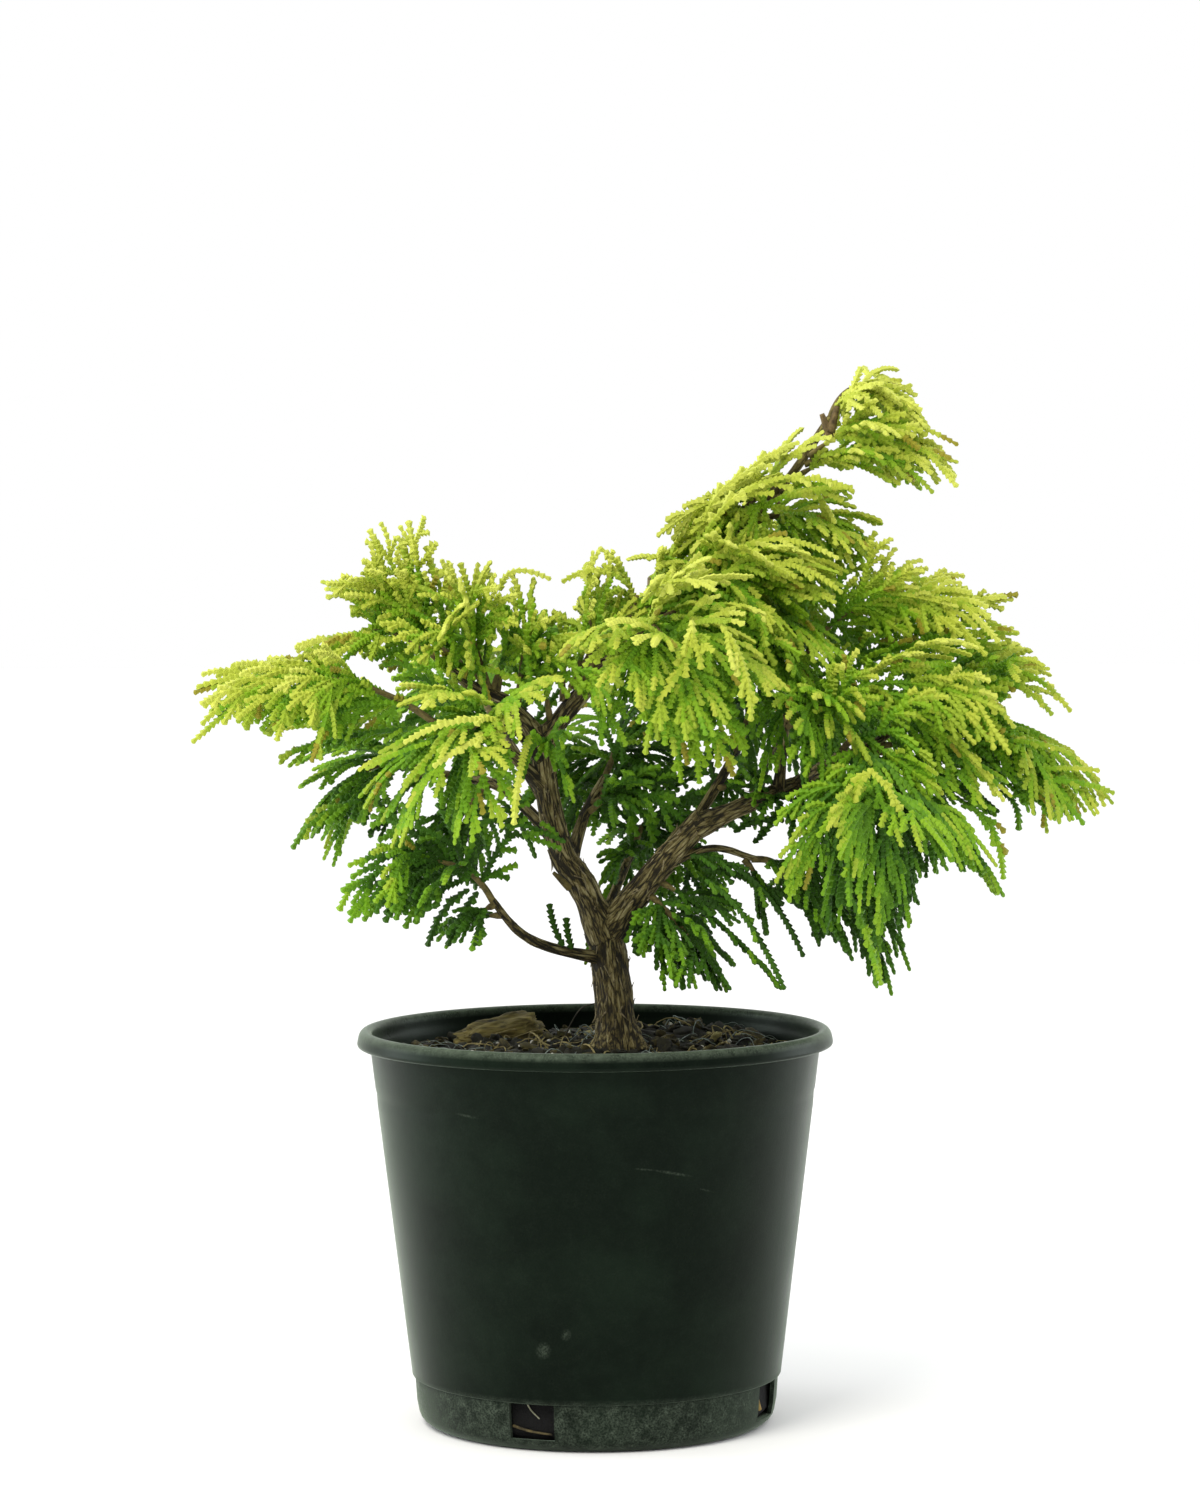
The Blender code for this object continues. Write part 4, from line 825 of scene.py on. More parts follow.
def peel_lines(chance):
    """Curls: each starts at the skin, runs on along the limb, and lifts by the square of its share."""
    share = np.linspace(0, 1, PEEL_STATIONS)[None, :, None]
    made = []
    for wanted, count in PEELS:
        _, parent, fraction, way, base_radius, tip_radius, *_ = next(row for row in LIMBS if row[0] == wanted)
        start = [] if parent is None else [point_on(lines[parent][0], fraction)]
        line = smooth_line([*start, *way], 200)
        at = chance.uniform(0.06, 0.95, count)
        heading = unit(np.gradient(line, axis=0))[(at * 199).astype(int)]
        turn = chance.uniform(0, 2 * np.pi, count)[:, None]
        side = unit(np.cross(heading, [0.2, 0.95, 0.1]))
        out = np.cos(turn) * side + np.sin(turn) * np.cross(heading, side)
        length = chance.uniform(*PEEL_LENGTHS, count)[:, None]
        run = unit(heading + chance.normal(0, 0.4, (count, 1)) * np.cross(heading, out))
        run = run * np.where(turn > 2.5, 1, -1)
        skin = (base_radius + (tip_radius - base_radius) * at**TAPER)[:, None]
        lift = length * chance.uniform(*PEEL_LIFTS, count)[:, None]
        foot = line[(at * 199).astype(int)] + (skin - 0.1) * out
        made.append(foot[:, None] + share * (length * run)[:, None] + share**2 * (lift * out)[:, None])
    return np.concatenate(made)


peels = peel_lines(np.random.default_rng(91))
peel_girth = np.tile(np.linspace(*PEEL_GIRTH, PEEL_STATIONS), (len(peels), 1))
peeled = mesh_piece("bark_peels", *tubes(peels, peel_girth, 5),
                    chip_finish("peeled_bark", "#40351f", "#a09470"))
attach(peeled, "root")

# Foliage: flat fans of branchlets. Each mass grows from one stem by a seeded rule, and keeps to the room
# that is nearer its own stem than any other's. Each row is a mass's name, limb, fraction along the limb,
# where its furthest tip reaches, its longest fingers, side fronds, lift of its stem, turn of its face, tone.
MASSES = (
    ("tip_shoot", "leader", 1.0, (119, 8, 357), 15, 2, 0.34, 20, "gold"),
    ("tip_fan", "leader", 0.88, (131, 10, 343), 20, 4, 0.14, 26, "gold"),
    ("leader_right", "leader", 0.72, (102, 14, 313), 20, 4, 0.22, 20, "gold"),
    ("leader_left", "leader", 0.82, (30, -16, 302), 15, 5, 0.10, -10, "gold"),
    ("leader_front", "leader", 0.54, (66, -44, 284), 24, 4, 0.24, 0, "gold"),
    ("leader_low_right", "leader", 0.44, (88, -22, 274), 20, 4, 0.28, 20, "gold"),
    ("leader_back", "leader", 0.60, (84, 58, 294), 24, 4, 0.22, 0, "gold"),
    ("crest_left", "leader", 0.28, (-14, 8, 305), 17, 4, 0.26, 15, "gold"),
    ("crest_back", "leader", 0.44, (20, 56, 300), 22, 4, 0.24, 0, "gold"),
    ("centre_front", "crown_front", 1.0, (38, -90, 250), 26, 5, 0.20, 0, "gold"),
    ("right_front_high", "right_riser", 0.66, (94, -64, 240), 24, 4, 0.36, 0, "gold"),
    ("right_crest", "right_riser", 1.0, (140, 6, 294), 24, 5, 0.14, 25, "gold"),
    ("right_shoulder", "right_main", 0.84, (175, 6, 254), 24, 6, 0.34, 30, "gold"),
    ("right_far", "right_main", 1.0, (185, -4, 221), 22, 6, 0.14, 30, "gold"),
    ("right_hang", "right_front", 1.0, (98, -68, 182), 25, 5, 0.20, 0, "green"),
    ("right_low_hang", "right_main", 0.72, (144, -28, 190), 24, 5, 0.26, 10, "green"),
    ("right_foot", "right_main", 0.58, (102, 24, 156), 22, 4, 0.10, 0, "green"),
    ("right_under", "right_low", 1.0, (70, -6, 155), 20, 4, 0.14, 0, "green"),
    ("low_fan", "right_stem", 0.40, (48, -22, 157), 20, 5, 0.06, 0, "green"),
    ("left_crest", "left_upper", 0.78, (-79, -6, 319), 18, 3, 0.02, 20, "gold"),
    ("left_top", "left_upper", 0.55, (-50, -28, 308), 20, 5, 0.02, 0, "gold"),
    ("left_inner_crest", "left_upper", 0.28, (-18, -16, 303), 17, 4, 0.20, 0, "gold"),
    ("left_gold", "left_upper", 1.0, (-105, -24, 284), 22, 5, 0.13, 28, "gold"),
    ("left_far_spray", "left_far", 1.0, (-140, -30, 263), 21, 6, 0.18, 35, "gold"),
    ("left_mid_spray", "left_mid", 1.0, (-112, 22, 202), 24, 5, 0.16, 15, "green"),
    ("left_front_spray", "left_front", 1.0, (-64, -78, 222), 24, 5, 0.14, 0, "gold"),
    ("left_low_spray", "left_low", 1.0, (-90, -30, 190), 20, 5, 0.16, 30, "green"),
    ("left_under", "left_mid", 0.45, (-62, 10, 196), 20, 4, 0.10, 0, "green"),
    ("mid_spray", "mid_back", 1.0, (-6, 72, 208), 24, 5, 0.16, 0, "green"),
    ("low_back", "centre_back", 1.0, (26, 80, 182), 24, 5, 0.16, 0, "green"),
    ("inner_spray", "right_upper", 1.0, (50, 62, 246), 24, 4, 0.20, 0, "green"),
    ("left_back_spray", "left_back", 1.0, (-76, 106, 238), 26, 5, 0.18, 0, "green"),
    ("right_back_spray", "right_back", 1.0, (114, 106, 234), 26, 5, 0.18, 0, "green"),
    ("crown_back_spray", "crown_back", 1.0, (24, 116, 262), 26, 5, 0.18, 0, "gold"),
)
# Finer sprays of the same growth, between the masses and out to the tips that stand alone.
SPRAYS = (
    ("plume_outer", "leader", 0.50, (72, -4, 350), 9, 1, 0.30, 10, "gold"),
    ("plume_inner", "leader", 0.46, (62, -12, 340), 9, 1, 0.34, 0, "gold"),
    ("plume_back", "leader", 0.40, (52, 10, 335), 10, 1, 0.40, 0, "gold"),
    ("plume_hazy", "leader", 0.32, (40, 26, 319), 11, 1, 0.36, 0, "gold"),
    ("plume_left", "leader", 0.44, (25, 14, 307), 9, 0, 0.12, 0, "gold"),
    ("plume_top", "leader", 0.72, (82, -7, 354), 9, 1, 0.20, 0, "gold"),
    ("arc_right", "leader", 0.56, (90, -20, 304), 12, 1, 0.24, 0, "gold"),
    ("arc_fall", "leader", 0.78, (79, -16, 293), 10, 1, 0.16, 0, "gold"),
    ("arc_short", "leader", 0.80, (92, -8, 333), 10, 1, 0.12, 0, "gold"),
    ("arc_big", "leader", 0.30, (72, -46, 276), 13, 2, 0.30, 0, "gold"),
    ("tip_curl", "leader", 1.0, (118, -4, 356), 10, 1, 0.30, 10, "gold"),
    ("crest_sprig", "leader", 0.18, (0, -6, 312), 11, 1, 0.22, 0, "gold"),
    ("crest_arm", "leader", 0.12, (-13, -10, 300), 9, 0, 0.26, 0, "gold"),
    ("dome_left", "left_upper", 0.92, (-93, -16, 299), 16, 2, 0.30, 10, "gold"),
    ("dome_front", "left_upper", 0.60, (-69, -52, 282), 18, 2, 0.34, 0, "gold"),
    ("dome_right", "left_upper", 0.50, (-17, -14, 290), 13, 2, 0.52, 0, "gold"),
    ("dome_sprig", "left_upper", 0.46, (-16, 6, 301), 6, 0, 0.56, 0, "gold"),
    ("far_low", "left_far", 0.90, (-112, -4, 239), 9, 1, 0.08, 0, "green"),
    ("mid_high", "left_mid", 1.0, (-105, 8, 228), 13, 1, 0.10, 0, "green"),
    ("mid_top", "left_mid", 0.80, (-105, -12, 219), 14, 1, 0.12, 0, "green"),
    ("gold_arm", "left_front", 0.80, (-65, -66, 249), 15, 1, 0.10, 0, "gold"),
    ("green_arm", "left_stem", 0.26, (-55, -34, 221), 11, 1, 0.10, 0, "green"),
    ("fork_gold", "leader", 0.06, (-26, -30, 281), 13, 1, 0.40, 0, "gold"),
    ("fork_fall", "leader", 0.16, (6, -48, 260), 13, 1, 0.26, 0, "gold"),
    ("centre_gold", "leader", 0.36, (54, -72, 260), 18, 2, 0.26, 0, "gold"),
    ("centre_fall", "crown_front", 0.80, (20, -70, 257), 15, 1, 0.22, 0, "gold"),
    ("right_bough", "right_riser", 0.90, (150, 2, 294), 12, 1, 0.20, 10, "gold"),
    ("right_arm", "right_riser", 0.80, (150, -16, 282), 12, 1, 0.20, 10, "gold"),
    ("right_fringe", "right_riser", 0.60, (142, -50, 256), 18, 2, 0.30, 0, "gold"),
    ("right_middle", "right_main", 0.80, (149, -24, 258), 16, 2, 0.30, 10, "gold"),
    ("right_reach", "right_main", 1.0, (170, -8, 243), 10, 1, 0.10, 10, "gold"),
    ("right_tip", "right_main", 0.94, (170, -14, 216), 13, 1, 0.18, 10, "gold"),
    ("right_drop", "right_main", 0.88, (152, 4, 211), 8, 1, 0.14, 0, "green"),
    ("front_fall", "right_front", 0.80, (98, -48, 160), 9, 1, 0.24, 0, "green"),
    ("front_gold", "right_front", 0.60, (107, -66, 216), 15, 2, 0.30, 0, "green"),
    ("low_long", "right_stem", 0.50, (66, -22, 157), 5, 0, 0.10, 0, "green"),
    ("low_twig", "right_low", 0.90, (74, -6, 167), 10, 1, 0.08, 0, "green"),
    ("high_twig", "right_stem", 0.75, (85, -4, 204), 12, 1, 0.02, 0, "green"),
    ("low_left", "right_stem", 0.30, (15, -8, 166), 11, 1, 0.04, 0, "green"),
    ("middle_fill", "right_upper", 0.60, (54, -14, 238), 15, 2, 0.10, 0, "green"),
    ("inner_fall", "mid_back", 0.80, (17, 10, 222), 15, 2, 0.12, 0, "green"),
    ("tip_over", "leader", 0.90, (117, -8, 354), 11, 3, 0.24, 14, "gold"),
    ("tip_low", "leader", 0.84, (111, -6, 343), 11, 3, 0.20, 10, "gold"),
    ("arc_a", "leader", 0.16, (58, -24, 297), 8, 0, 0.62, 0, "gold"),
    ("arc_b", "leader", 0.20, (52, -30, 293), 8, 0, 0.50, 0, "gold"),
    ("arc_c", "leader", 0.34, (60, -16, 342), 8, 0, 0.50, 0, "gold"),
    ("arc_d", "leader", 0.38, (66, -22, 339), 8, 0, 0.46, 0, "gold"),
    ("arc_e", "leader", 0.44, (71, -10, 349), 8, 0, 0.42, 0, "gold"),
    ("arc_f", "leader", 0.62, (90, -18, 334), 9, 1, 0.26, 0, "gold"),
    ("arc_g", "leader", 0.46, (86, -30, 304), 10, 1, 0.30, 0, "gold"),
    ("arc_h", "leader", 0.40, (73, -36, 302), 9, 1, 0.34, 0, "gold"),
    ("arc_i", "leader", 0.26, (35, 6, 323), 8, 0, 0.50, 0, "gold"),
    ("window_leaf", "right_main", 0.36, (67, -20, 219), 12, 2, 0.06, 0, "green"),
    ("window_high", "right_upper", 0.40, (63, -8, 227), 12, 2, 0.08, 0, "green"),
    ("inner_low", "mid_back", 0.60, (25, 8, 232), 13, 2, 0.10, 0, "green"),
    ("inner_drop", "centre_back", 0.80, (10, 6, 206), 12, 2, 0.10, 0, "green"),
    ("fork_leaf", "left_stem", 0.90, (-10, -40, 246), 13, 2, 0.20, 0, "green"),
    ("low_tips", "left_low", 0.96, (-52, -24, 176), 10, 2, 0.10, 10, "green"),
    ("low_hang", "left_low", 0.86, (-59, -10, 175), 10, 1, 0.10, 0, "green"),
    ("far_mid", "left_mid", 0.90, (-107, 4, 205), 12, 1, 0.16, 0, "green"),
    ("wedge_leaf", "left_far", 0.70, (-71, -20, 274), 12, 2, 0.30, 0, "gold"),
    ("stems_leaf", "mid_back", 0.80, (6, 14, 215), 13, 3, 0.10, 0, "green"),
    ("stems_low", "centre_back", 0.90, (16, 10, 204), 12, 2, 0.08, 0, "green"),
    ("stems_high", "mid_back", 0.50, (31, 4, 230), 13, 3, 0.16, 0, "green"),
    ("limb_over", "right_main", 0.30, (59, -14, 234), 13, 2, 0.20, 0, "green"),
    ("limb_under", "right_main", 0.50, (70, -6, 209), 13, 3, 0.05, 0, "green"),
    ("limb_inner", "right_upper", 0.70, (44, 6, 222), 13, 2, 0.10, 0, "green"),
    ("front_dark", "right_front", 0.70, (89, -40, 225), 14, 3, 0.10, 0, "green"),
)
# Single long branchlets that stand out in the photograph: each is a curve's start, middle and end, how much
# more golden it is than its place would make it, and the size of the short ones along it.
STRANDS = (
    ("arc_one", (20, -26, 293), (28, -26, 316), (56, -26, 298), 0.16, 0.60),
    ("arc_two", (22, -32, 290), (26, -32, 309), (52, -32, 293), 0.12, 0.60),
    ("arc_three", (37, -18, 309), (38, -18, 337), (63, -18, 342), 0.16, 0.50),
    ("arc_four", (38, -24, 313), (45, -24, 334), (69, -24, 338), 0.10, 0.50),
    ("arc_five", (44, -14, 323), (51, -14, 343), (73, -14, 350), 0.14, 0.60),
    ("arc_six", (53, -22, 330), (69, -22, 342), (90, -22, 334), 0.12, 0.60),
    ("arc_seven", (47, -28, 309), (62, -28, 323), (86, -28, 309), 0.12, 0.70),
    ("arc_eight", (45, -34, 304), (69, -34, 314), (87, -34, 297), 0.10, 0.80),
    ("arc_nine", (26, -30, 300), (38, -30, 316), (64, -30, 307), 0.14, 0.60),
    ("arc_ten", (24, -12, 295), (26, -12, 312), (38, -12, 328), 0.10, 0.50),
    ("tip_one", (90, 6, 359), (92, 6, 375), (114, 6, 369), -0.02, 0.28),
    ("tip_two", (92, 2, 363), (105, 2, 373), (119, 2, 355), -0.06, 0.40),
    ("tip_three", (87, -2, 354), (105, -2, 364), (130, -2, 349), -0.08, 0.80),
    ("tip_four", (81, -4, 345), (102, -4, 354), (121, -4, 332), -0.12, 0.80),
    ("tip_five", (89, 4, 362), (93, 4, 369), (96, 4, 377), 0.00, 0.00),
    ("crest_one", (15, -4, 293), (11, -4, 309), (2, -4, 313), 0.12, 0.60),
    ("crest_two", (12, -8, 300), (3, -8, 310), (-11, -8, 301), 0.12, 0.60),
    ("crest_three", (-33, -10, 298), (-31, -10, 310), (-15, -10, 302), 0.14, 0.00),
    ("spike_one", (-74, -14, 305), (-76, -14, 315), (-79, -14, 320), 0.06, 0.30),
    ("spike_two", (-62, -16, 307), (-64, -16, 316), (-65, -16, 323), 0.06, 0.30),
    ("spike_three", (-55, -14, 300), (-57, -14, 308), (-59, -14, 314), 0.06, 0.40),
    ("spike_four", (-43, -12, 294), (-45, -12, 302), (-47, -12, 308), 0.06, 0.40),
    ("spike_five", (-25, -10, 289), (-26, -10, 299), (-29, -10, 304), 0.08, 0.40),
    ("window_one", (43, 6, 222), (44, 6, 231), (40, 6, 240), -0.10, 0.60),
    ("window_two", (30, 4, 223), (40, 4, 225), (46, 4, 232), -0.10, 0.60),
    ("window_three", (57, 6, 207), (64, 6, 212), (67, 6, 222), -0.08, 0.60),
    ("window_four", (50, 4, 211), (59, 4, 217), (68, 4, 215), -0.08, 0.60),
    ("window_five", (35, 8, 232), (41, 8, 234), (43, 8, 241), -0.10, 0.50),
    ("hanging_cord", (-22, -62, 249), (-26, -90, 238), (-27, -88, 220), 0.60, 0.16),
    ("arm_high", (-25, -62, 253), (-45, -94, 260), (-64, -90, 248), 0.60, 0.40),
    ("arm_low", (-28, -64, 252), (-41, -94, 250), (-54, -92, 240), 0.60, 0.40),
    ("arm_green", (-10, -30, 210), (-32, -30, 221), (-54, -30, 221), -0.20, 0.70),
    ("fork_upright", (-18, -24, 256), (-25, -24, 270), (-23, -24, 287), 0.20, 0.25),
    ("fork_level", (-19, -28, 260), (-31, -28, 273), (-46, -28, 271), 0.18, 0.35),
    ("fall_left", (95, -80, 238), (86, -80, 229), (76, -80, 215), 0.30, 0.45),
    ("fall_right", (93, -80, 238), (103, -80, 231), (106, -80, 217), 0.26, 0.45),
    ("fall_middle", (90, -78, 232), (86, -78, 214), (87, -78, 191), 0.16, 0.60),
    ("fall_low", (89, -58, 192), (94, -58, 181), (99, -58, 162), 0.06, 0.30),
    ("low_long", (39, -22, 196), (53, -22, 189), (67, -22, 157), -0.10, 0.35),
    ("low_arch", (34, -16, 204), (59, -16, 204), (74, -16, 168), -0.12, 0.50),
    ("low_back", (38, -10, 199), (66, -10, 195), (87, -10, 175), -0.14, 0.50),
    ("right_one", (155, -8, 229), (173, -8, 231), (185, -8, 225), 0.06, 0.50),
    ("right_two", (152, -6, 233), (169, -6, 235), (180, -6, 233), 0.06, 0.00),
    ("right_three", (148, -10, 224), (166, -10, 228), (174, -10, 214), 0.02, 0.40),
    ("right_four", (137, -8, 243), (156, -8, 246), (170, -8, 239), 0.06, 0.40),
    ("right_five", (146, -4, 270), (160, -4, 268), (170, -4, 254), 0.04, 0.60),
    ("right_six", (120, -6, 279), (125, -6, 295), (147, -6, 295), 0.10, 0.40),
    ("right_seven", (123, -10, 278), (131, -10, 291), (151, -10, 282), 0.08, 0.40),
    ("right_eight", (144, -8, 226), (152, -8, 223), (151, -8, 212), -0.05, 0.00),
    ("right_nine", (141, -8, 267), (155, -8, 264), (163, -8, 253), 0.02, 0.50),
    ("fork_dark_one", (-27, 6, 249), (-25, 6, 261), (-15, 6, 266), -0.12, 0.80),
    ("fork_dark_two", (-24, 8, 246), (-18, 8, 256), (-12, 8, 262), -0.12, 0.80),
    ("fork_dark_three", (-26, 10, 256), (-22, 10, 268), (-12, 10, 272), -0.06, 0.80),
    ("right_fan", (129, -26, 222), (143, -26, 220), (144, -26, 196), 0.02, 0.70),
    ("left_one", (-92, -30, 265), (-121, -30, 272), (-139, -30, 265), 0.06, 0.60),
    ("left_two", (-103, -34, 261), (-128, -34, 264), (-137, -34, 252), 0.04, 0.50),
    ("left_three", (-80, -8, 247), (-98, -8, 246), (-112, -8, 239), -0.05, 0.40),
    ("left_four", (-84, 0, 223), (-99, 0, 221), (-108, 0, 206), -0.04, 0.70),
    ("left_five", (-68, -26, 281), (-89, -26, 284), (-104, -26, 279.5), 0.10, 0.50),
    ("left_six", (-57, -26, 288), (-78, -26, 299), (-92, -26, 299), 0.10, 0.60),
    ("low_five", (-44, -24, 193), (-54, -24, 189), (-59, -24, 173), -0.06, 0.30),
    ("low_six", (-41, -22, 192), (-47, -22, 186), (-52, -22, 173), -0.06, 0.30),
    ("twiglet_one", (-11, -14, 172), (-15, -14, 178), (-16, -14, 187), -0.50, 0.00),
    ("twiglet_two", (-8, -14, 171), (-10, -14, 176), (-10, -14, 182), -0.50, 0.00),
    ("centre_one", (33, -92, 289), (36, -92, 279), (22, -92, 262), 0.14, 0.80),
    ("centre_two", (43, -94, 287), (53, -94, 276), (53, -94, 255), 0.14, 0.80),
)
# Gaps that the sky shows through, seen from the front: each is an ellipse's centre across and up, its
# two half sizes and the turn of the first from level.
SKY = (
    (-26, 326, 13.6, 15.7, 0), (12, 330, 14.3, 16.4, 0), (52, 352, 33.9, 12.1, 36),
    (27, 333, 9.3, 7.1, 30), (86, 377, 12.1, 6.1, 52), (134, 321, 26.8, 12.1, 0),
    (108, 329, 13.6, 4.6, 0), (175, 287, 22.1, 21.4, 0), (162, 249, 9.3, 4.3, -15),
    (182, 244, 16.4, 7.9, -14), (176, 196, 19.3, 19.3, 0), (160, 198, 12.1, 11.4, 0),
    (133, 170, 21.4, 20.7, 0), (84, 156, 9.3, 15.0, 0), (73, 159, 4.3, 10.0, 0), (99, 146, 9.3, 8.6, 0),
    (34, 146, 25.0, 8.6, 0), (55, 153, 4.3, 5.7, 0), (54, 208, 12.1, 3.6, 0), (-2, 198, 3.2, 7.1, 0),
    (-18, 193, 15.0, 7.1, -70), (-30, 157, 26.8, 13.6, 0), (-83, 166, 20.7, 12.1, 0),
    (-116, 193, 17.8, 9.3, 0), (-98, 189, 7.1, 10.7, 0), (-101, 223, 7.9, 2.5, 0),
    (-132, 227, 22.8, 17.8, 0), (-129, 282, 23.6, 9.3, 0), (-98, 291, 10.7, 4.6, 0),
    (-101, 316, 17.1, 12.9, 0), (-40, 323, 19.6, 11.4, 0), (-79, 268, 10.7, 2.9, -42),
    (-50, 238, 3.2, 2.5, 0), (-71, 229, 2.5, 5.7, -15), (-59, 221, 2.9, 4.3, 0),
    (85, 374, 14.3, 4.8, 48), (100, 385, 10.5, 6.2, 0), (67, 355, 13.1, 3.6, 36), (27, 329, 12.4, 4.3, 42),
    (2, 317, 10.7, 3.3, -8), (-13, 296, 8.1, 5.2, 0), (16, 302, 5.2, 5.7, 0), (153, 255, 5.7, 6.2, -20),
    (179, 239, 11.9, 5.2, -35), (151, 213, 8.0, 5.6, -10), (-90, 285, 11.9, 2.9, 10),
    (-132, 246, 14.3, 3.3, -6), (-106, 246, 7.6, 3.6, 0), (-87, 272, 4.8, 3.1, -30),
    (-85, 209, 4.3, 6.4, 30), (94, 337, 11.0, 3.1, -8),
    (-46, 313, 8.6, 3.1, -8), (115, 310, 6.2, 2.1, 8),
    (-106, 299, 9.0, 4.6, 0), (127, 190, 14.0, 6.0, 8), (71, 176, 6.0, 8.0, 0), (15, 160, 8.0, 6.0, -40),
)
STEM_RADIUS, STEM_TIP_RADIUS, STEM_SHARE = 1.2, 0.7, 0.55
SPLIT, SIDE_FROM, TRIES, APART_ENOUGH = 0.42, (0.08, 0.60), 24, 22.0
SPACE_STARTS, SPACE_MARGIN, STEM_MARGIN, LIMB_MARGIN, RIM_MARGIN = 0.15, 0.9, 3.2, 1.8, 4.0
REACH_SLACK, GIRTH_SHARE, GAP = 1.001, 1.25, 0.3
SPRAY_SPLIT, SPRAY_STEM_SHARE = 0.10, 0.12
MORE_FRONDS = {"gold": 5, "green": 3}
MORE_LENGTH = 0.75


def bezier(start, middle, end, t):
    """Points of a quadratic curve: (1 - t)^2 start + 2t(1 - t) middle + t^2 end."""
    t = np.atleast_1d(t)[:, None]
    return (1 - t) ** 2 * start + 2 * t * (1 - t) * middle + t**2 * end


def bezier_heading(start, middle, end, t):
    """The direction of a quadratic curve: 2(1 - t)(middle - start) + 2t(end - middle), made of length 1."""
    t = np.atleast_1d(t)[:, None]
    return unit(2 * (1 - t) * (middle - start) + 2 * t * (end - middle))


def mass_axis(mass):
    """The quadratic curve of a mass from just clear of its limb to its furthest tip."""
    _, limb_name, fraction, reach, _, _, lift, _, _ = mass
    line, radii = lines[limb_name]
    reach = np.array(reach, float)
    on_limb = point_on(line, fraction)
    along = unit(point_on(line, min(1.0, fraction + 0.02)) - point_on(line, fraction - 0.02))
    span = np.linalg.norm(reach - on_limb)
    if fraction == 1.0:
        start = on_limb + along * GAP
        return start, start + along * span * 0.42 + UP * span * lift, reach
    middle = on_limb + (reach - on_limb) * 0.45 + UP * span * lift
    heading = unit(middle - on_limb)
    side = unit(heading - (heading @ along) * along)
    radius = np.interp(fraction, np.linspace(0, 1, len(radii)), radii)
    slope = abs(heading @ along)
    start = on_limb + side * (radius + GAP + (STEM_RADIUS + 0.3) * slope) + along * (heading @ along) * radius
    return start, middle, reach


def face_of(start, reach, turn, heading):
    """The direction that a mass's fronds face: up and out from the trunk, turned about its stem."""
    out = ((start + reach) / 2 - TRUNK_FOOT) * np.array([1.0, 1.0, 0.0])
    face = 0.55 * UP + 0.85 * unit(out)
    face = unit(face - (face @ heading) * heading)
    side = np.cross(heading, face)
    towards = math.copysign(1.0, side[1]) if abs(side[1]) > 1e-6 else 1.0
    angle = -math.radians(turn) * towards
    return math.cos(angle) * face + math.sin(angle) * side


class Space:
    """The room that each mass keeps to: nearer its own axis than any other's, and clear of limbs.

    The distance to a straight span is the distance to the point on it at the share where the span's
    normal plane holds the point, kept from 0 to 1. All axes and limbs are one array of short spans.
    """

    def __init__(self, masses):
        axes = [mass_axis(mass) for mass in masses]
        outer = [bezier(*axis, np.linspace(SPACE_STARTS, 1, 9)) for axis in axes]
        roots = [bezier(*axis, np.linspace(0, SPACE_STARTS, 3)) for axis in axes]
        runs = [*outer, *roots, *(line for line, _ in lines.values())]
        self.names = [mass[0] for mass in masses]
        self.girths = [mass[4] * GIRTH_SHARE for mass in masses]
        self.feet = [start for start, _, _ in axes]
        self.reaches = [np.linalg.norm(reach - start) for start, _, reach in axes]
        self.starts = np.vstack([run[:-1] for run in runs])
        self.spans = np.vstack([np.diff(run, axis=0) for run in runs])
        self.firsts = np.cumsum([0, *(len(run) - 1 for run in runs)])[:-1]
        self.limb_reach = np.array([radii.mean() for _, radii in lines.values()])

    def distances(self, points, first=0):
        """Shortest distance from each point to each line, from a given line on."""
        skipped = self.firsts[first]
        away = points[:, None] - self.starts[skipped:]
        spans = self.spans[skipped:]
        t = np.clip((away * spans).sum(2) / (spans**2).sum(1), 0, 1)
        to_span = np.linalg.norm(away - t[..., None] * spans, axis=2)
        return np.minimum.reduceat(to_span, self.firsts[first:] - skipped, axis=1)

    def clear(self, name, points):
        """Whether each point lies in the mass's own room: near its axis, and no further out than its tip."""
        points = np.atleast_2d(points)
        own, count = self.names.index(name), len(self.names)
        away = self.distances(points)
        outer, roots, limbs = away[:, :count], away[:, count:2 * count], away[:, 2 * count:]
        nearest = np.delete(outer, own, axis=1).min(axis=1)
        free = nearest > outer[:, own] + 2 * SPACE_MARGIN
        free &= np.delete(roots, own, axis=1).min(axis=1) > STEM_MARGIN
        free &= (limbs > self.limb_reach + LIMB_MARGIN).all(axis=1)
        free &= outer[:, own] < self.girths[own]
        free &= np.linalg.norm(points - self.feet[own], axis=1) < self.reaches[own] * REACH_SLACK
        return free & ~over_rim(points)


def over_rim(points):
    """Whether each point is in or close above the pot."""
    over_pot = np.hypot(points[..., 0], points[..., 1]) < RIM_RADIUS + RIM_MARGIN
    return over_pot & (points[..., 2] < POT_HEIGHT + RIM_MARGIN)


def in_sky(points):
    """Whether each point shows in a gap, from the front: it is carried along its line of sight to the plane
    of the trunk, and turned into each ellipse's own axes, where x^2 / a^2 + y^2 / b^2 is under 1."""
    eye = np.array(EYE)
    seen = eye + (points - eye) * (eye[1] / (eye[1] - points[..., 1]))[..., None]
    x, z, wide, high, turn = np.array(SKY, float).T
    across, up = seen[..., 0, None] - x, seen[..., 2, None] - z
    cos, sin = np.cos(np.radians(turn)), np.sin(np.radians(turn))
    far = ((across * cos + up * sin) / wide) ** 2 + ((up * cos - across * sin) / high) ** 2
    return (far < 1).any(axis=-1)


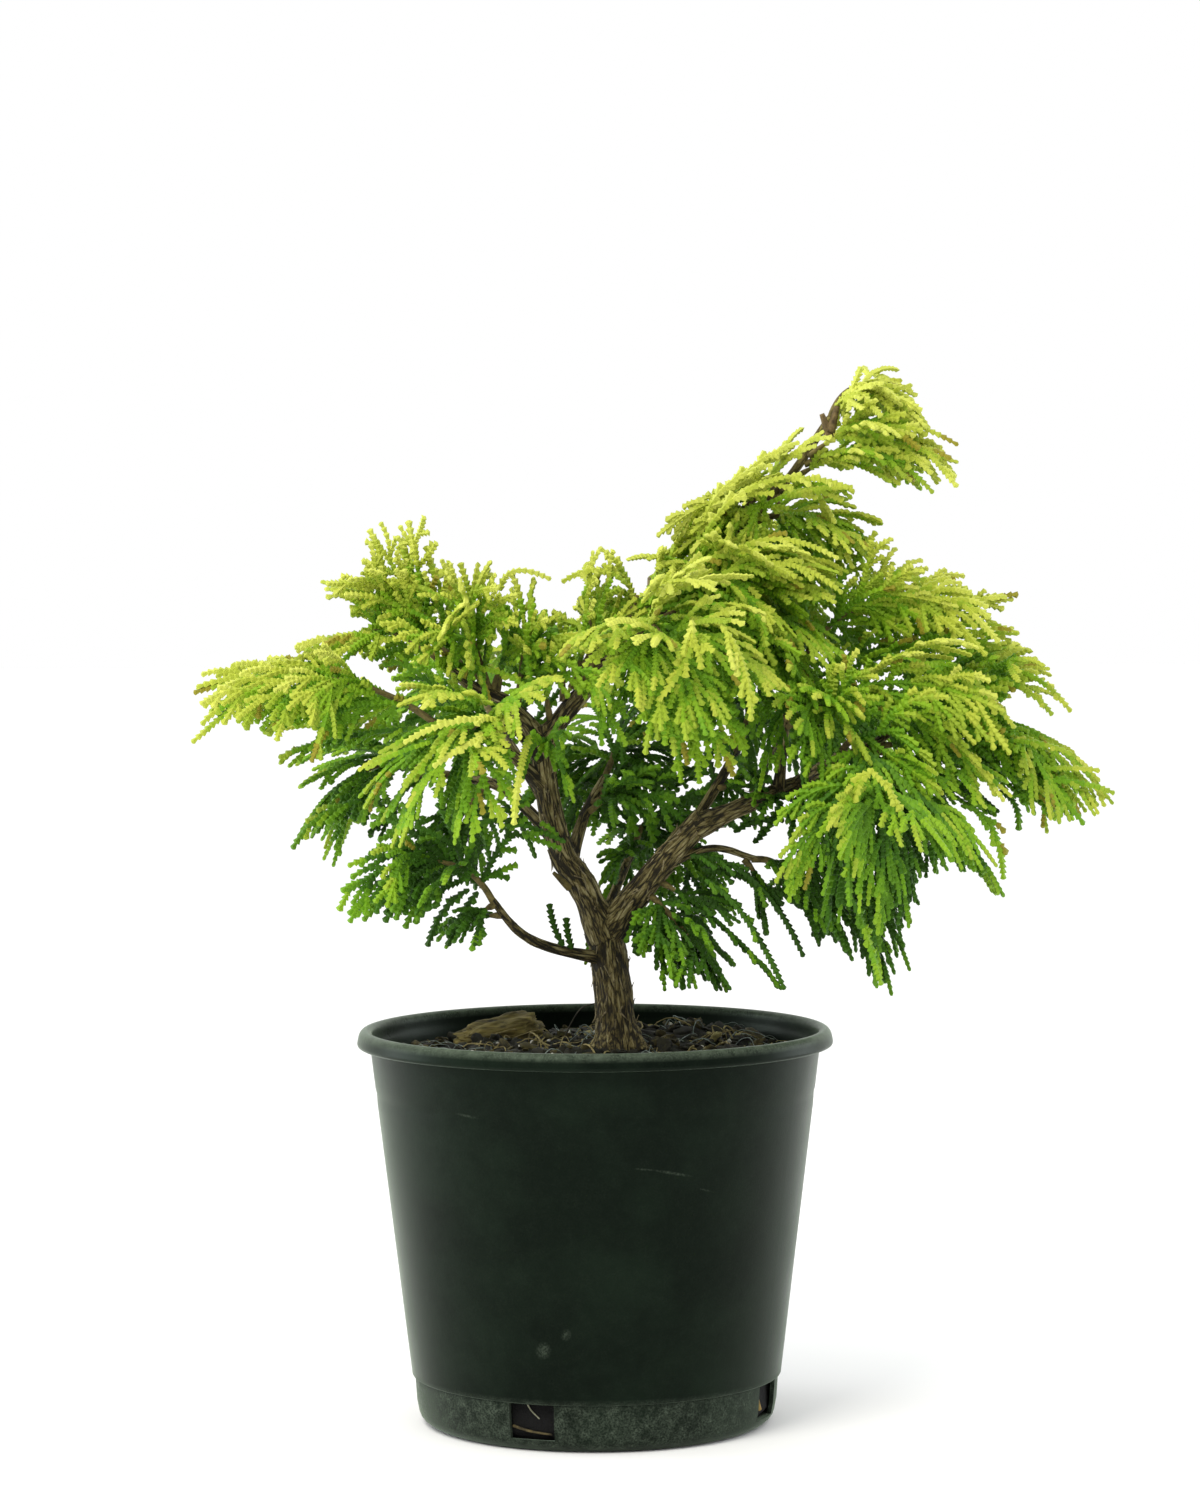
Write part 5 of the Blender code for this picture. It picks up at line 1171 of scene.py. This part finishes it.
def side_frond(axis, first, turn, longest, chance, size):
    """One try at a frond that leaves the stem, or the first frond past it, and hangs from it."""
    start, _, reach = axis
    span = np.linalg.norm(reach - start)
    at = chance.uniform(*SIDE_FROM)
    curve, share = (axis, at) if at < SPLIT else (first, (at - SPLIT) / (1 - SPLIT))
    begin, heading = bezier(*curve, share)[0], bezier_heading(*curve, share)[0]
    face = face_of(start, reach, turn + chance.uniform(-25, 25), heading)
    side = np.cross(heading, face)
    spread, around = math.radians(chance.uniform(32, 68)), chance.uniform(0, 2 * math.pi)
    sideways = math.cos(around) * side + 0.7 * math.sin(around) * face
    out = math.cos(spread) * heading + math.sin(spread) * sideways
    length = span * chance.uniform(0.45, 0.80) * size
    end = begin + out * length - UP * length * chance.uniform(0.10, 0.34)
    bend = begin + out * length * 0.5 + UP * length * 0.06
    return begin, bend, end, face, longest * chance.uniform(0.82, 1.0)


def fronds_of(mass, room, finer_room):
    """A mass's fronds by a seeded rule, the construction's own first and then finer ones between them.

    One goes on from the stem. Each other is the best of several tries: the one that runs furthest in the
    mass's own room and keeps furthest from the fronds before it.
    """
    name, _, _, _, longest, count, _, turn, tone = mass
    axis = mass_axis(mass)
    start, _, reach = axis
    chance = np.random.default_rng(sum(map(ord, name)))
    split = SPLIT if room else SPRAY_SPLIT
    begin, heading = bezier(*axis, split)[0], bezier_heading(*axis, split)[0]
    first = (begin, begin + heading * np.linalg.norm(reach - begin) * 0.5, reach)
    fronds = [(*first, face_of(start, reach, turn, heading), longest)]
    along = np.array([0.4, 0.6, 0.8, 1.0])
    taken = bezier(*first, along)
    rounds = [(room, 1.0)] * count + [(finer_room, MORE_LENGTH)] * MORE_FRONDS[tone] if room else (
        [(finer_room, 1.0)] * count)
    for kept_room, size in rounds:
        tries = []
        for _ in range(TRIES):
            tried = side_frond(axis, first, turn, longest, chance, size)
            points = bezier(*tried[:3], along)
            run = np.cumprod(kept_room.clear(name, points) & ~in_sky(points)).sum()
            apart = np.linalg.norm(points[:, None] - taken, axis=2).min(axis=1).mean()
            tries.append((run * APART_ENOUGH / 4 + min(apart, APART_ENOUGH), tried, points))
        _, frond, points = max(tries, key=lambda tried: tried[0])
        fronds.append(frond)
        taken = np.vstack([taken, points])
    return fronds


# Branchlets: each is a chain of paired scale leaves pressed to a thin shoot, about 3 mm wide and 2 mm
# thick. The side pairs stand out as teeth that point to the tip, and the facing pairs make a low ridge.
FINGER_PITCH, FINGER_FIRST, FINGER_LAST = 5.4, 0.05, 0.93
CORD_WIDTH, CORD_DEPTH, TOOTH_PITCH = 2.9, 2.1, 2.0
ORDER_WIDTHS = (1.0, 0.95, 0.88)
WAIST, TOOTH, LOW, RIDGE, TOOTH_PUSH, RIDGE_PUSH = 0.52, 1.12, 0.66, 1.08, 0.36, 0.4
DROOP = {"gold": 0.16, "green": 0.22}
FINGER_LONGER = 1.32
PRONG_FIRST, PRONG_PITCH, PRONG_LAST, MOST_PRONGS = 3.4, 4.3, 6.0, 7
PRONG_CHANCE, PRONG_LEAST, PRONG_SHARE, PRONG_LONG = 0.82, 1.6, 0.42, 12.0
SHORTER, UNEVEN = (1.0, 0.88, 0.72, 0.56, 0.42), 0.14
TWIG_CLEAR, PIECE_LENGTH = 0.8, 5.6
STRAND_FACE = np.array([0.1, -0.75, 0.65])


def finger_length(longest, share):
    """Fingers are longest near the middle: longest * (0.45 + 0.55 sin(pi * (0.15 + 0.75 share)))."""
    return longest * (0.45 + 0.55 * np.sin(np.pi * (0.15 + 0.75 * share)))


def frond_shares(frond):
    """Where the fingers leave a frond's rib: every few millimetres of it, as shares of its length."""
    begin, bend, end = frond[:3]
    length = np.linalg.norm(bend - begin) + np.linalg.norm(end - bend)
    return np.arange(FINGER_FIRST, FINGER_LAST, FINGER_PITCH / length)


def fingers_of(frond, share, chance):
    """The branchlets of one frond: roots, directions and lengths, on alternate sides of its rib."""
    begin, bend, end, face, longest = frond
    count = len(share)
    heading = bezier_heading(begin, bend, end, share)
    over = unit(face - (heading @ face)[:, None] * heading)
    side = np.cross(heading, over)
    hand = np.where(np.arange(count) % 2 == 0, 1.0, -1.0)
    angle = np.radians(50 - 22 * share - 12 * (longest < 11) + chance.normal(0, 6, count))
    cup = chance.normal(-0.05, 0.12, count)
    out = np.cos(angle)[:, None] * heading + (hand * np.sin(angle))[:, None] * side
    out = unit(out + cup[:, None] * over - 0.12 * UP)
    reach = FINGER_LONGER * finger_length(longest, share) * chance.uniform(0.66, 1.16, count)
    return bezier(begin, bend, end, share), out, heading, over, reach


def finger_curves(root, out, heading, reach, droop):
    """A branchlet's three control points: out, then forward along its frond, and down by its own weight."""
    middle = root + (out * 0.5 + UP * 0.07) * reach[:, None]
    tip = root + (out * 0.70 + heading * 0.36 - UP * droop) * reach[:, None]
    return np.stack([root, middle, tip], axis=1)


def fitted(room, axis, grown, droop, chance):
    """Each branchlet at the longest share of itself that is clear of limbs, pot and sky, within reach."""
    root, out, heading, over, reach = grown
    start, _, furthest = axis
    curves = finger_curves(root, out, heading, reach, droop)
    found = np.zeros(len(root), bool)
    limit = np.linalg.norm(furthest - start) * chance.uniform(0.92, 1.03, len(root)) + 1.5
    for share in SHORTER:
        left = np.flatnonzero(~found)
        if not len(left):
            break
        uneven = share - (share < 1) * UNEVEN * chance.uniform(0, 1, len(left))
        tried = finger_curves(root[left], out[left], heading[left], reach[left] * uneven, droop)
        spots = np.stack([(1 - t) ** 2 * tried[:, 0] + 2 * t * (1 - t) * tried[:, 1] + t**2 * tried[:, 2]
                          for t in (0.5, 0.75, 1.0)], axis=1)
        limbs = room.distances(spots.reshape(-1, 3), 2 * len(room.names))
        bad = (limbs < room.limb_reach + TWIG_CLEAR).any(axis=1).reshape(spots.shape[:2])
        bad |= over_rim(spots) | in_sky(spots)
        bad |= np.linalg.norm(spots - start, axis=2) > limit[left, None]
        free = ~bad.any(axis=1)
        curves[left[free]] = tried[free]
        found[left[free]] = True
    return curves[found], over[found]


def prongs_of(curves, over, chance):
    """Short branchlets every few millimetres along the longer ones, alternating in the frond's plane.

    One that leaves where a length l is left is 1.6 mm + 0.42 l long, give or take a fifth.
    """
    length = np.linalg.norm(curves[:, 2] - curves[:, 0], axis=1)
    grown = []
    first_hand = chance.choice([-1.0, 1.0], len(curves))
    for number in range(MOST_PRONGS):
        at = PRONG_FIRST + PRONG_PITCH * (number + chance.uniform(-0.15, 0.15, len(curves)))
        chosen = (at < length - PRONG_LAST) & (chance.uniform(0, 1, len(curves)) < PRONG_CHANCE)
        a, b, c = curves[chosen].transpose(1, 0, 2)
        share = (at / length)[chosen, None]
        root = (1 - share) ** 2 * a + 2 * share * (1 - share) * b + share**2 * c
        heading = unit((1 - share) * (b - a) + share * (c - b))
        upright = unit(over[chosen] - (over[chosen] * heading).sum(1, keepdims=True) * heading)
        side = np.cross(heading, upright) * (first_hand[chosen] * (-1) ** number)[:, None]
        angle = np.radians(chance.normal(40, 5, len(root)))[:, None]
        out = unit(np.cos(angle) * heading + np.sin(angle) * side)
        reach = np.minimum(PRONG_LONG, PRONG_LEAST + PRONG_SHARE * (length - at)[chosen])
        grown.append((root, out, heading, upright, reach * chance.uniform(0.8, 1.2, len(root))))
    return [np.concatenate(part) for part in zip(*grown)]


def rib_share(frond, room):
    """How far a frond's rib runs, as a share of it, before it would meet a limb, the pot or the sky."""
    steps = np.linspace(0, 1, 13)[2:]
    spots = bezier(*frond[:3], steps)
    limbs = room.distances(spots, 2 * len(room.names))
    bad = (limbs < room.limb_reach + TWIG_CLEAR).any(axis=1) | over_rim(spots) | in_sky(spots)
    blocked = np.flatnonzero(bad)
    return steps[blocked[0]] - 1 / 12 if len(blocked) else 1.0


def part_of_curve(curves, low, high):
    """The part of quadratic curves between two shares: their points at both, and between them the mixed point
    (1 - s)(1 - t) a + (s + t - 2st) b + st c."""
    low, high = np.broadcast_to(low, len(curves))[:, None], np.broadcast_to(high, len(curves))[:, None]
    a, b, c = curves.transpose(1, 0, 2)
    mixed = [(1 - s) * (1 - t) * a + (s + t - 2 * s * t) * b + s * t * c
             for s, t in ((low, low), (low, high), (high, high))]
    return np.stack(mixed, axis=1)


def grow():
    """The crown's branchlets: curves, facing directions, order, the number of each one's frond, warmth."""
    room, finer_room = Space(MASSES), Space(MASSES + SPRAYS)
    kinds = []
    frond_number = 0
    for mass in MASSES + SPRAYS:
        chance = np.random.default_rng(1 + sum(map(ord, mass[0])))
        axis, droop = mass_axis(mass), DROOP[mass[-1]]
        for frond in fronds_of(mass, room if mass in MASSES else None, finer_room):
            frond_number += 1
            furthest = rib_share(frond, finer_room)
            if furthest < 0.25:
                continue
            rib = part_of_curve(np.stack(frond[:3])[None], 0.0, furthest)
            shares = frond_shares(frond)
            groups = [(rib, frond[3][None])]
            fingers = fingers_of(frond, shares[shares < furthest], chance)
            curves, over = fitted(finer_room, axis, fingers, droop, chance)
            if len(curves):
                groups.append((curves, over))
                grown = prongs_of(curves, over, chance)
                if len(grown[0]):
                    groups.append(fitted(finer_room, axis, grown, droop, chance))
            for order, (group, facing) in enumerate(groups):
                kinds.append((group, facing, np.full(len(group), order), np.full(len(group), frond_number),
                              np.full(len(group), WARMTH[mass[-1]])))
    strands = np.array([row[1:4] for row in STRANDS], float)
    facing = np.tile(unit(STRAND_FACE), (len(strands), 1))
    warm, size = np.array([row[4:] for row in STRANDS]).T
    chance = np.random.default_rng(5)
    for number in range(len(strands)):
        own = slice(number, number + 1)
        frond_number += 1
        root, out, heading, upright, reach = prongs_of(strands[own], facing[own], chance)
        prongs = finger_curves(root, out, heading, reach * size[number], DROOP["gold"])
        for order, (group, face) in enumerate(((strands[own], facing[own]), (prongs, upright))):
            if size[number] > 0 or order == 0:
                kinds.append((group, face, np.full(len(group), order), np.full(len(group), frond_number),
                              np.full(len(group), warm[number])))
    return [np.concatenate(part) for part in zip(*kinds)]


def divided(curves):
    """Branchlets cut into pieces of about one length, so that tones can change along them: the number of the
    branchlet that each piece is of, and the shares where it begins and ends."""
    length = (np.linalg.norm(curves[:, 1] - curves[:, 0], axis=1)
              + np.linalg.norm(curves[:, 2] - curves[:, 1], axis=1))
    count = np.maximum(1, np.round(0.93 * length / PIECE_LENGTH)).astype(int)
    whole = np.repeat(np.arange(len(curves)), count)
    number = np.arange(len(whole)) - np.repeat(np.cumsum(count) - count, count)
    return whole, number / count[whole], (number + 1) / count[whole]


def cords(curves, over, width, low, high):
    """Pieces of branchlets as one array, those with the same number of teeth together.

    Rings run along the quadratic curve, two to a tooth. A ring is a rhomb: half the width to each side and
    half the depth up and down. Every other ring is wide and high, with its sides pushed on towards the tip,
    which makes a saw tooth, and the rings between are the waist. The branchlet is thinner at its two ends.
    """
    a, b, c = curves.transpose(1, 0, 2)
    length = 0.95 * (np.linalg.norm(b - a, axis=1) + np.linalg.norm(c - b, axis=1))
    teeth = np.maximum(1, np.round(length / TOOTH_PITCH)).astype(int)
    points, quads, total = [], [], 0
    for count in np.unique(teeth):
        chosen = teeth == count
        rings = 2 * count + 1
        share = np.arange(rings) / (rings - 1)
        t = share[None, :, None]
        p, q, r = a[chosen][:, None], b[chosen][:, None], c[chosen][:, None]
        line = (1 - t) ** 2 * p + 2 * t * (1 - t) * q + t**2 * r
        heading = unit((1 - t) * (q - p) + t * (r - q))
        line[:, -1] += 0.15 * heading[:, -1]
        up = over[chosen][:, None]
        up = unit(up - (up * heading).sum(2, keepdims=True) * heading)
        side = np.cross(heading, up)
        along = low[chosen][:, None] + (high - low)[chosen][:, None] * share
        taper = np.minimum(1.0, 0.66 + 3.0 * (1 - along)) * np.minimum(1.0, 0.75 + 3.0 * along)
        half = (width[chosen] / 2)[:, None] * taper
        odd = np.arange(rings) % 2 == 1
        half_wide = half * np.where(odd, TOOTH, WAIST)
        half_deep = half * CORD_DEPTH / CORD_WIDTH * np.where(odd, RIDGE, LOW)
        push = np.where(odd, TOOTH_PUSH * TOOTH_PITCH, 0.0)[None, :, None] * heading
        wide, deep = side * half_wide[..., None], up * half_deep[..., None]
        grid = np.stack([line + wide + push, line + deep + RIDGE_PUSH * push,
                         line - wide + push, line - deep + RIDGE_PUSH * push], axis=2)
        shift = total + np.arange(len(grid))[:, None, None] * rings * 4
        last = (rings - 1) * 4
        ends = np.array([[0, 1, 2, 3], [last + 3, last + 2, last + 1, last]])
        quads.append((np.vstack([grid_faces(rings, 4)[:, ::-1], ends])[None] + shift).reshape(-1, 4))
        points.append(grid.reshape(-1, 3))
        total += grid.shape[0] * rings * 4
    return np.concatenate(points), np.concatenate(quads)


# Colour of the foliage: this plant's leaves turn gold in full light and stay green in its own shade, so each
# piece of branchlet has its tone from how open it lies, how high, and how near its tip. The tones also grow
# darker the more buried and the lower a piece lies. The deep and shade greens are therefore partly painted
# shade, on top of the leaves' own change from gold to green.
OPEN_WAYS = ((0.0, 0.0, 1.0, 0.8), (0.0, -0.8, 0.6, 0.8), (-0.8, -0.3, 0.5, 0.6), (0.8, -0.3, 0.5, 0.6),
             (0.0, 0.8, 0.6, 0.5), (-0.7, 0.5, 0.4, 0.4), (0.7, 0.5, 0.4, 0.4), (0.0, -1.0, 0.05, 0.9),
             (-1.0, 0.0, 0.0, 0.5), (1.0, 0.0, 0.0, 0.5), (0.0, 1.0, 0.05, 0.5))
OPEN_CELL, OPEN_DEPTH = 6.0, 11.0
HIGH_FROM, HIGH_SPAN = 160.0, 150.0
HIGH_WEIGHT, TIP_WEIGHT = 0.42, 0.18
WARMTH = {"gold": 0.05, "green": -0.05}
# The last, darkest tones stand partly for painted shade deep and low in the crown.
TONES = (("pale_gold_sprays", 0.035, "#c2ca58", "gold_foliage"),
         ("gold_sprays", 0.09, "#afbb42", "gold_foliage"),
         ("gold_lime_sprays", 0.13, "#97ae33", "gold_foliage"),
         ("lime_sprays", 0.16, "#83a924", "gold_foliage"),
         ("leaf_green_sprays", 0.18, "#6c9a1e", "green_foliage"),
         ("mid_green_sprays", 0.17, "#5a861b", "green_foliage"),
         ("deep_green_sprays", 0.135, "#426d18", "green_foliage"),
         ("shade_green_sprays", 0.10, "#2f5211", "green_foliage"))
AMBER, AMBER_CHANCE, AMBER_LEAST = "#8f8a2c", 0.04, 0.5


def openness(spots):
    """How open each spot lies, from 0 to 1: along each of several ways, exp of minus its depth under the
    outermost spot in the same cell of a grid across that way, and then their weighted mean."""
    total = np.zeros(len(spots))
    for *way, weight in OPEN_WAYS:
        way = unit(np.array(way))
        across = unit(np.cross(way, [0.31, 0.52, 0.11]))
        over = np.cross(way, across)
        cell = np.floor(np.stack([spots @ across, spots @ over], -1) / OPEN_CELL).astype(int)
        cell -= cell.min(axis=0)
        grid = np.full(cell.max(axis=0) + 1, -1e9)
        np.maximum.at(grid, tuple(cell.T), spots @ way)
        total += weight * np.exp(-(grid[tuple(cell.T)] - spots @ way) / OPEN_DEPTH)
    return total / sum(weight for *_, weight in OPEN_WAYS)


def leaf_finish(name, code):
    """Scale leaves: a waxy green skin with a soft sheen and a little unevenness from leaf to leaf."""
    made, tree, shader, at = finish_of(name + "_leaf", Roughness=0.55, IOR=1.42, Specular_IOR_Level=0.22)
    vary = add(tree, "ShaderNodeTexNoise", {"Vector": at, "Scale": 260.0, "Detail": 3.0})
    fine = add(tree, "ShaderNodeTexNoise", {"Vector": at, "Scale": 900.0, "Detail": 2.0})
    red, green, blue, _ = linear(code)
    darker = (red * 0.70, green * 0.76, blue * 0.7, 1.0)
    brighter = (min(1.0, red * 1.2), min(1.0, green * 1.15), blue * 1.1, 1.0)
    tone = add(tree, "ShaderNodeMix", {0: vary.outputs[0], 6: darker, 7: brighter}, data_type="RGBA")
    bump = add(tree, "ShaderNodeBump", {"Height": fine.outputs[0], "Strength": 0.35, "Distance": 0.0004})
    tree.links.new(tone.outputs[2], shader.inputs["Base Color"])
    tree.links.new(bump.outputs[0], shader.inputs["Normal"])
    return made


curves, over, order, frond_number, warmth = grow()
whole, low, high = divided(curves)
pieces = part_of_curve(curves[whole], low, high)
spots = pieces.mean(axis=1)
chance = np.random.default_rng(77)
shared = chance.normal(0, 0.05, frond_number.max() + 1)[frond_number[whole]]
height_share = np.clip((spots[:, 2] - HIGH_FROM) / HIGH_SPAN, 0, 1)
# Partly painted shade: buried and low pieces get the darker tones, besides the real green of shaded leaves.
tones = openness(spots) + HIGH_WEIGHT * height_share + TIP_WEIGHT * high * (order[whole] > 0) + warmth[whole]
tones += shared + chance.normal(0, 0.03, len(spots)) + chance.normal(0, 0.03, len(curves))[whole]
widths = np.array(ORDER_WIDTHS)[order[whole]]
rank = np.argsort(np.argsort(-tones)) / len(tones)
amber = (high == 1.0) & (rank < AMBER_LEAST) & (chance.uniform(0, 1, len(spots)) < AMBER_CHANCE)
floor_share = 0.0
for name, part, code, slot in (*TONES, ("amber_tips", 1.0, AMBER, "gold_foliage")):
    chosen = amber if name == "amber_tips" else (rank >= floor_share) & (rank < floor_share + part) & ~amber
    floor_share += part
    points, quads = cords(pieces[chosen], over[whole][chosen], CORD_WIDTH * widths[chosen],
                          low[chosen], high[chosen])
    sprays = mesh_piece(name, points, [quads], leaf_finish(name, code), smooth=False)
    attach(sprays, "root")
    if name == "gold_sprays":
        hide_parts(*(mass[0] for mass in MASSES if mass[-1] == "gold"))
    if name == "leaf_green_sprays":
        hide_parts(*(mass[0] for mass in MASSES if mass[-1] == "green"))

# Twigs: the stem of each mass, young wood under thin olive-brown bark, sunk into the limb it grows from.
TWIG_STATIONS, TWIG_SIDES = 14, 7
twig_shares = [STEM_SHARE] * len(MASSES) + [SPRAY_STEM_SHARE] * len(SPRAYS)
twig_lines = np.stack([bezier(*mass_axis(mass), np.linspace(0, share, TWIG_STATIONS))
                       for mass, share in zip(MASSES + SPRAYS, twig_shares)])
twig_lines[:, 0] -= 2.2 * unit(twig_lines[:, 1] - twig_lines[:, 0])
twig_radii = np.tile(np.linspace(STEM_RADIUS * 1.1, STEM_TIP_RADIUS, TWIG_STATIONS), (len(twig_lines), 1))
twigs = mesh_piece("olive_twigs", *tubes(twig_lines, twig_radii, TWIG_SIDES),
                   chip_finish("olive_twig_bark", "#3f381c", "#7c6f3c"))
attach(twigs, "root")

# Snag: the forked end of the leader where an old tip died back, dry brown wood just above the last shoots.
SNAG = (((84.4, 3.0, 352.0), (83.2, 2.6, 356.6), (81.8, 2.4, 360.4)),
        ((84.8, 2.4, 354.0), (86.2, 2.0, 358.8), (87.3, 1.8, 363.2)))
SNAG_GIRTH, SNAG_STATIONS, SNAG_SIDES = (1.8, 0.9), 10, 9
snag_lines = np.stack([smooth_line(way, SNAG_STATIONS) for way in SNAG])
snag_radii = np.tile(np.linspace(*SNAG_GIRTH, SNAG_STATIONS), (len(SNAG), 1))
snag = mesh_piece("leader_snag", *tubes(snag_lines, snag_radii, SNAG_SIDES),
                  chip_finish("dry_snag", "#3d2f1c", "#7b6840"))
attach(snag, "root")
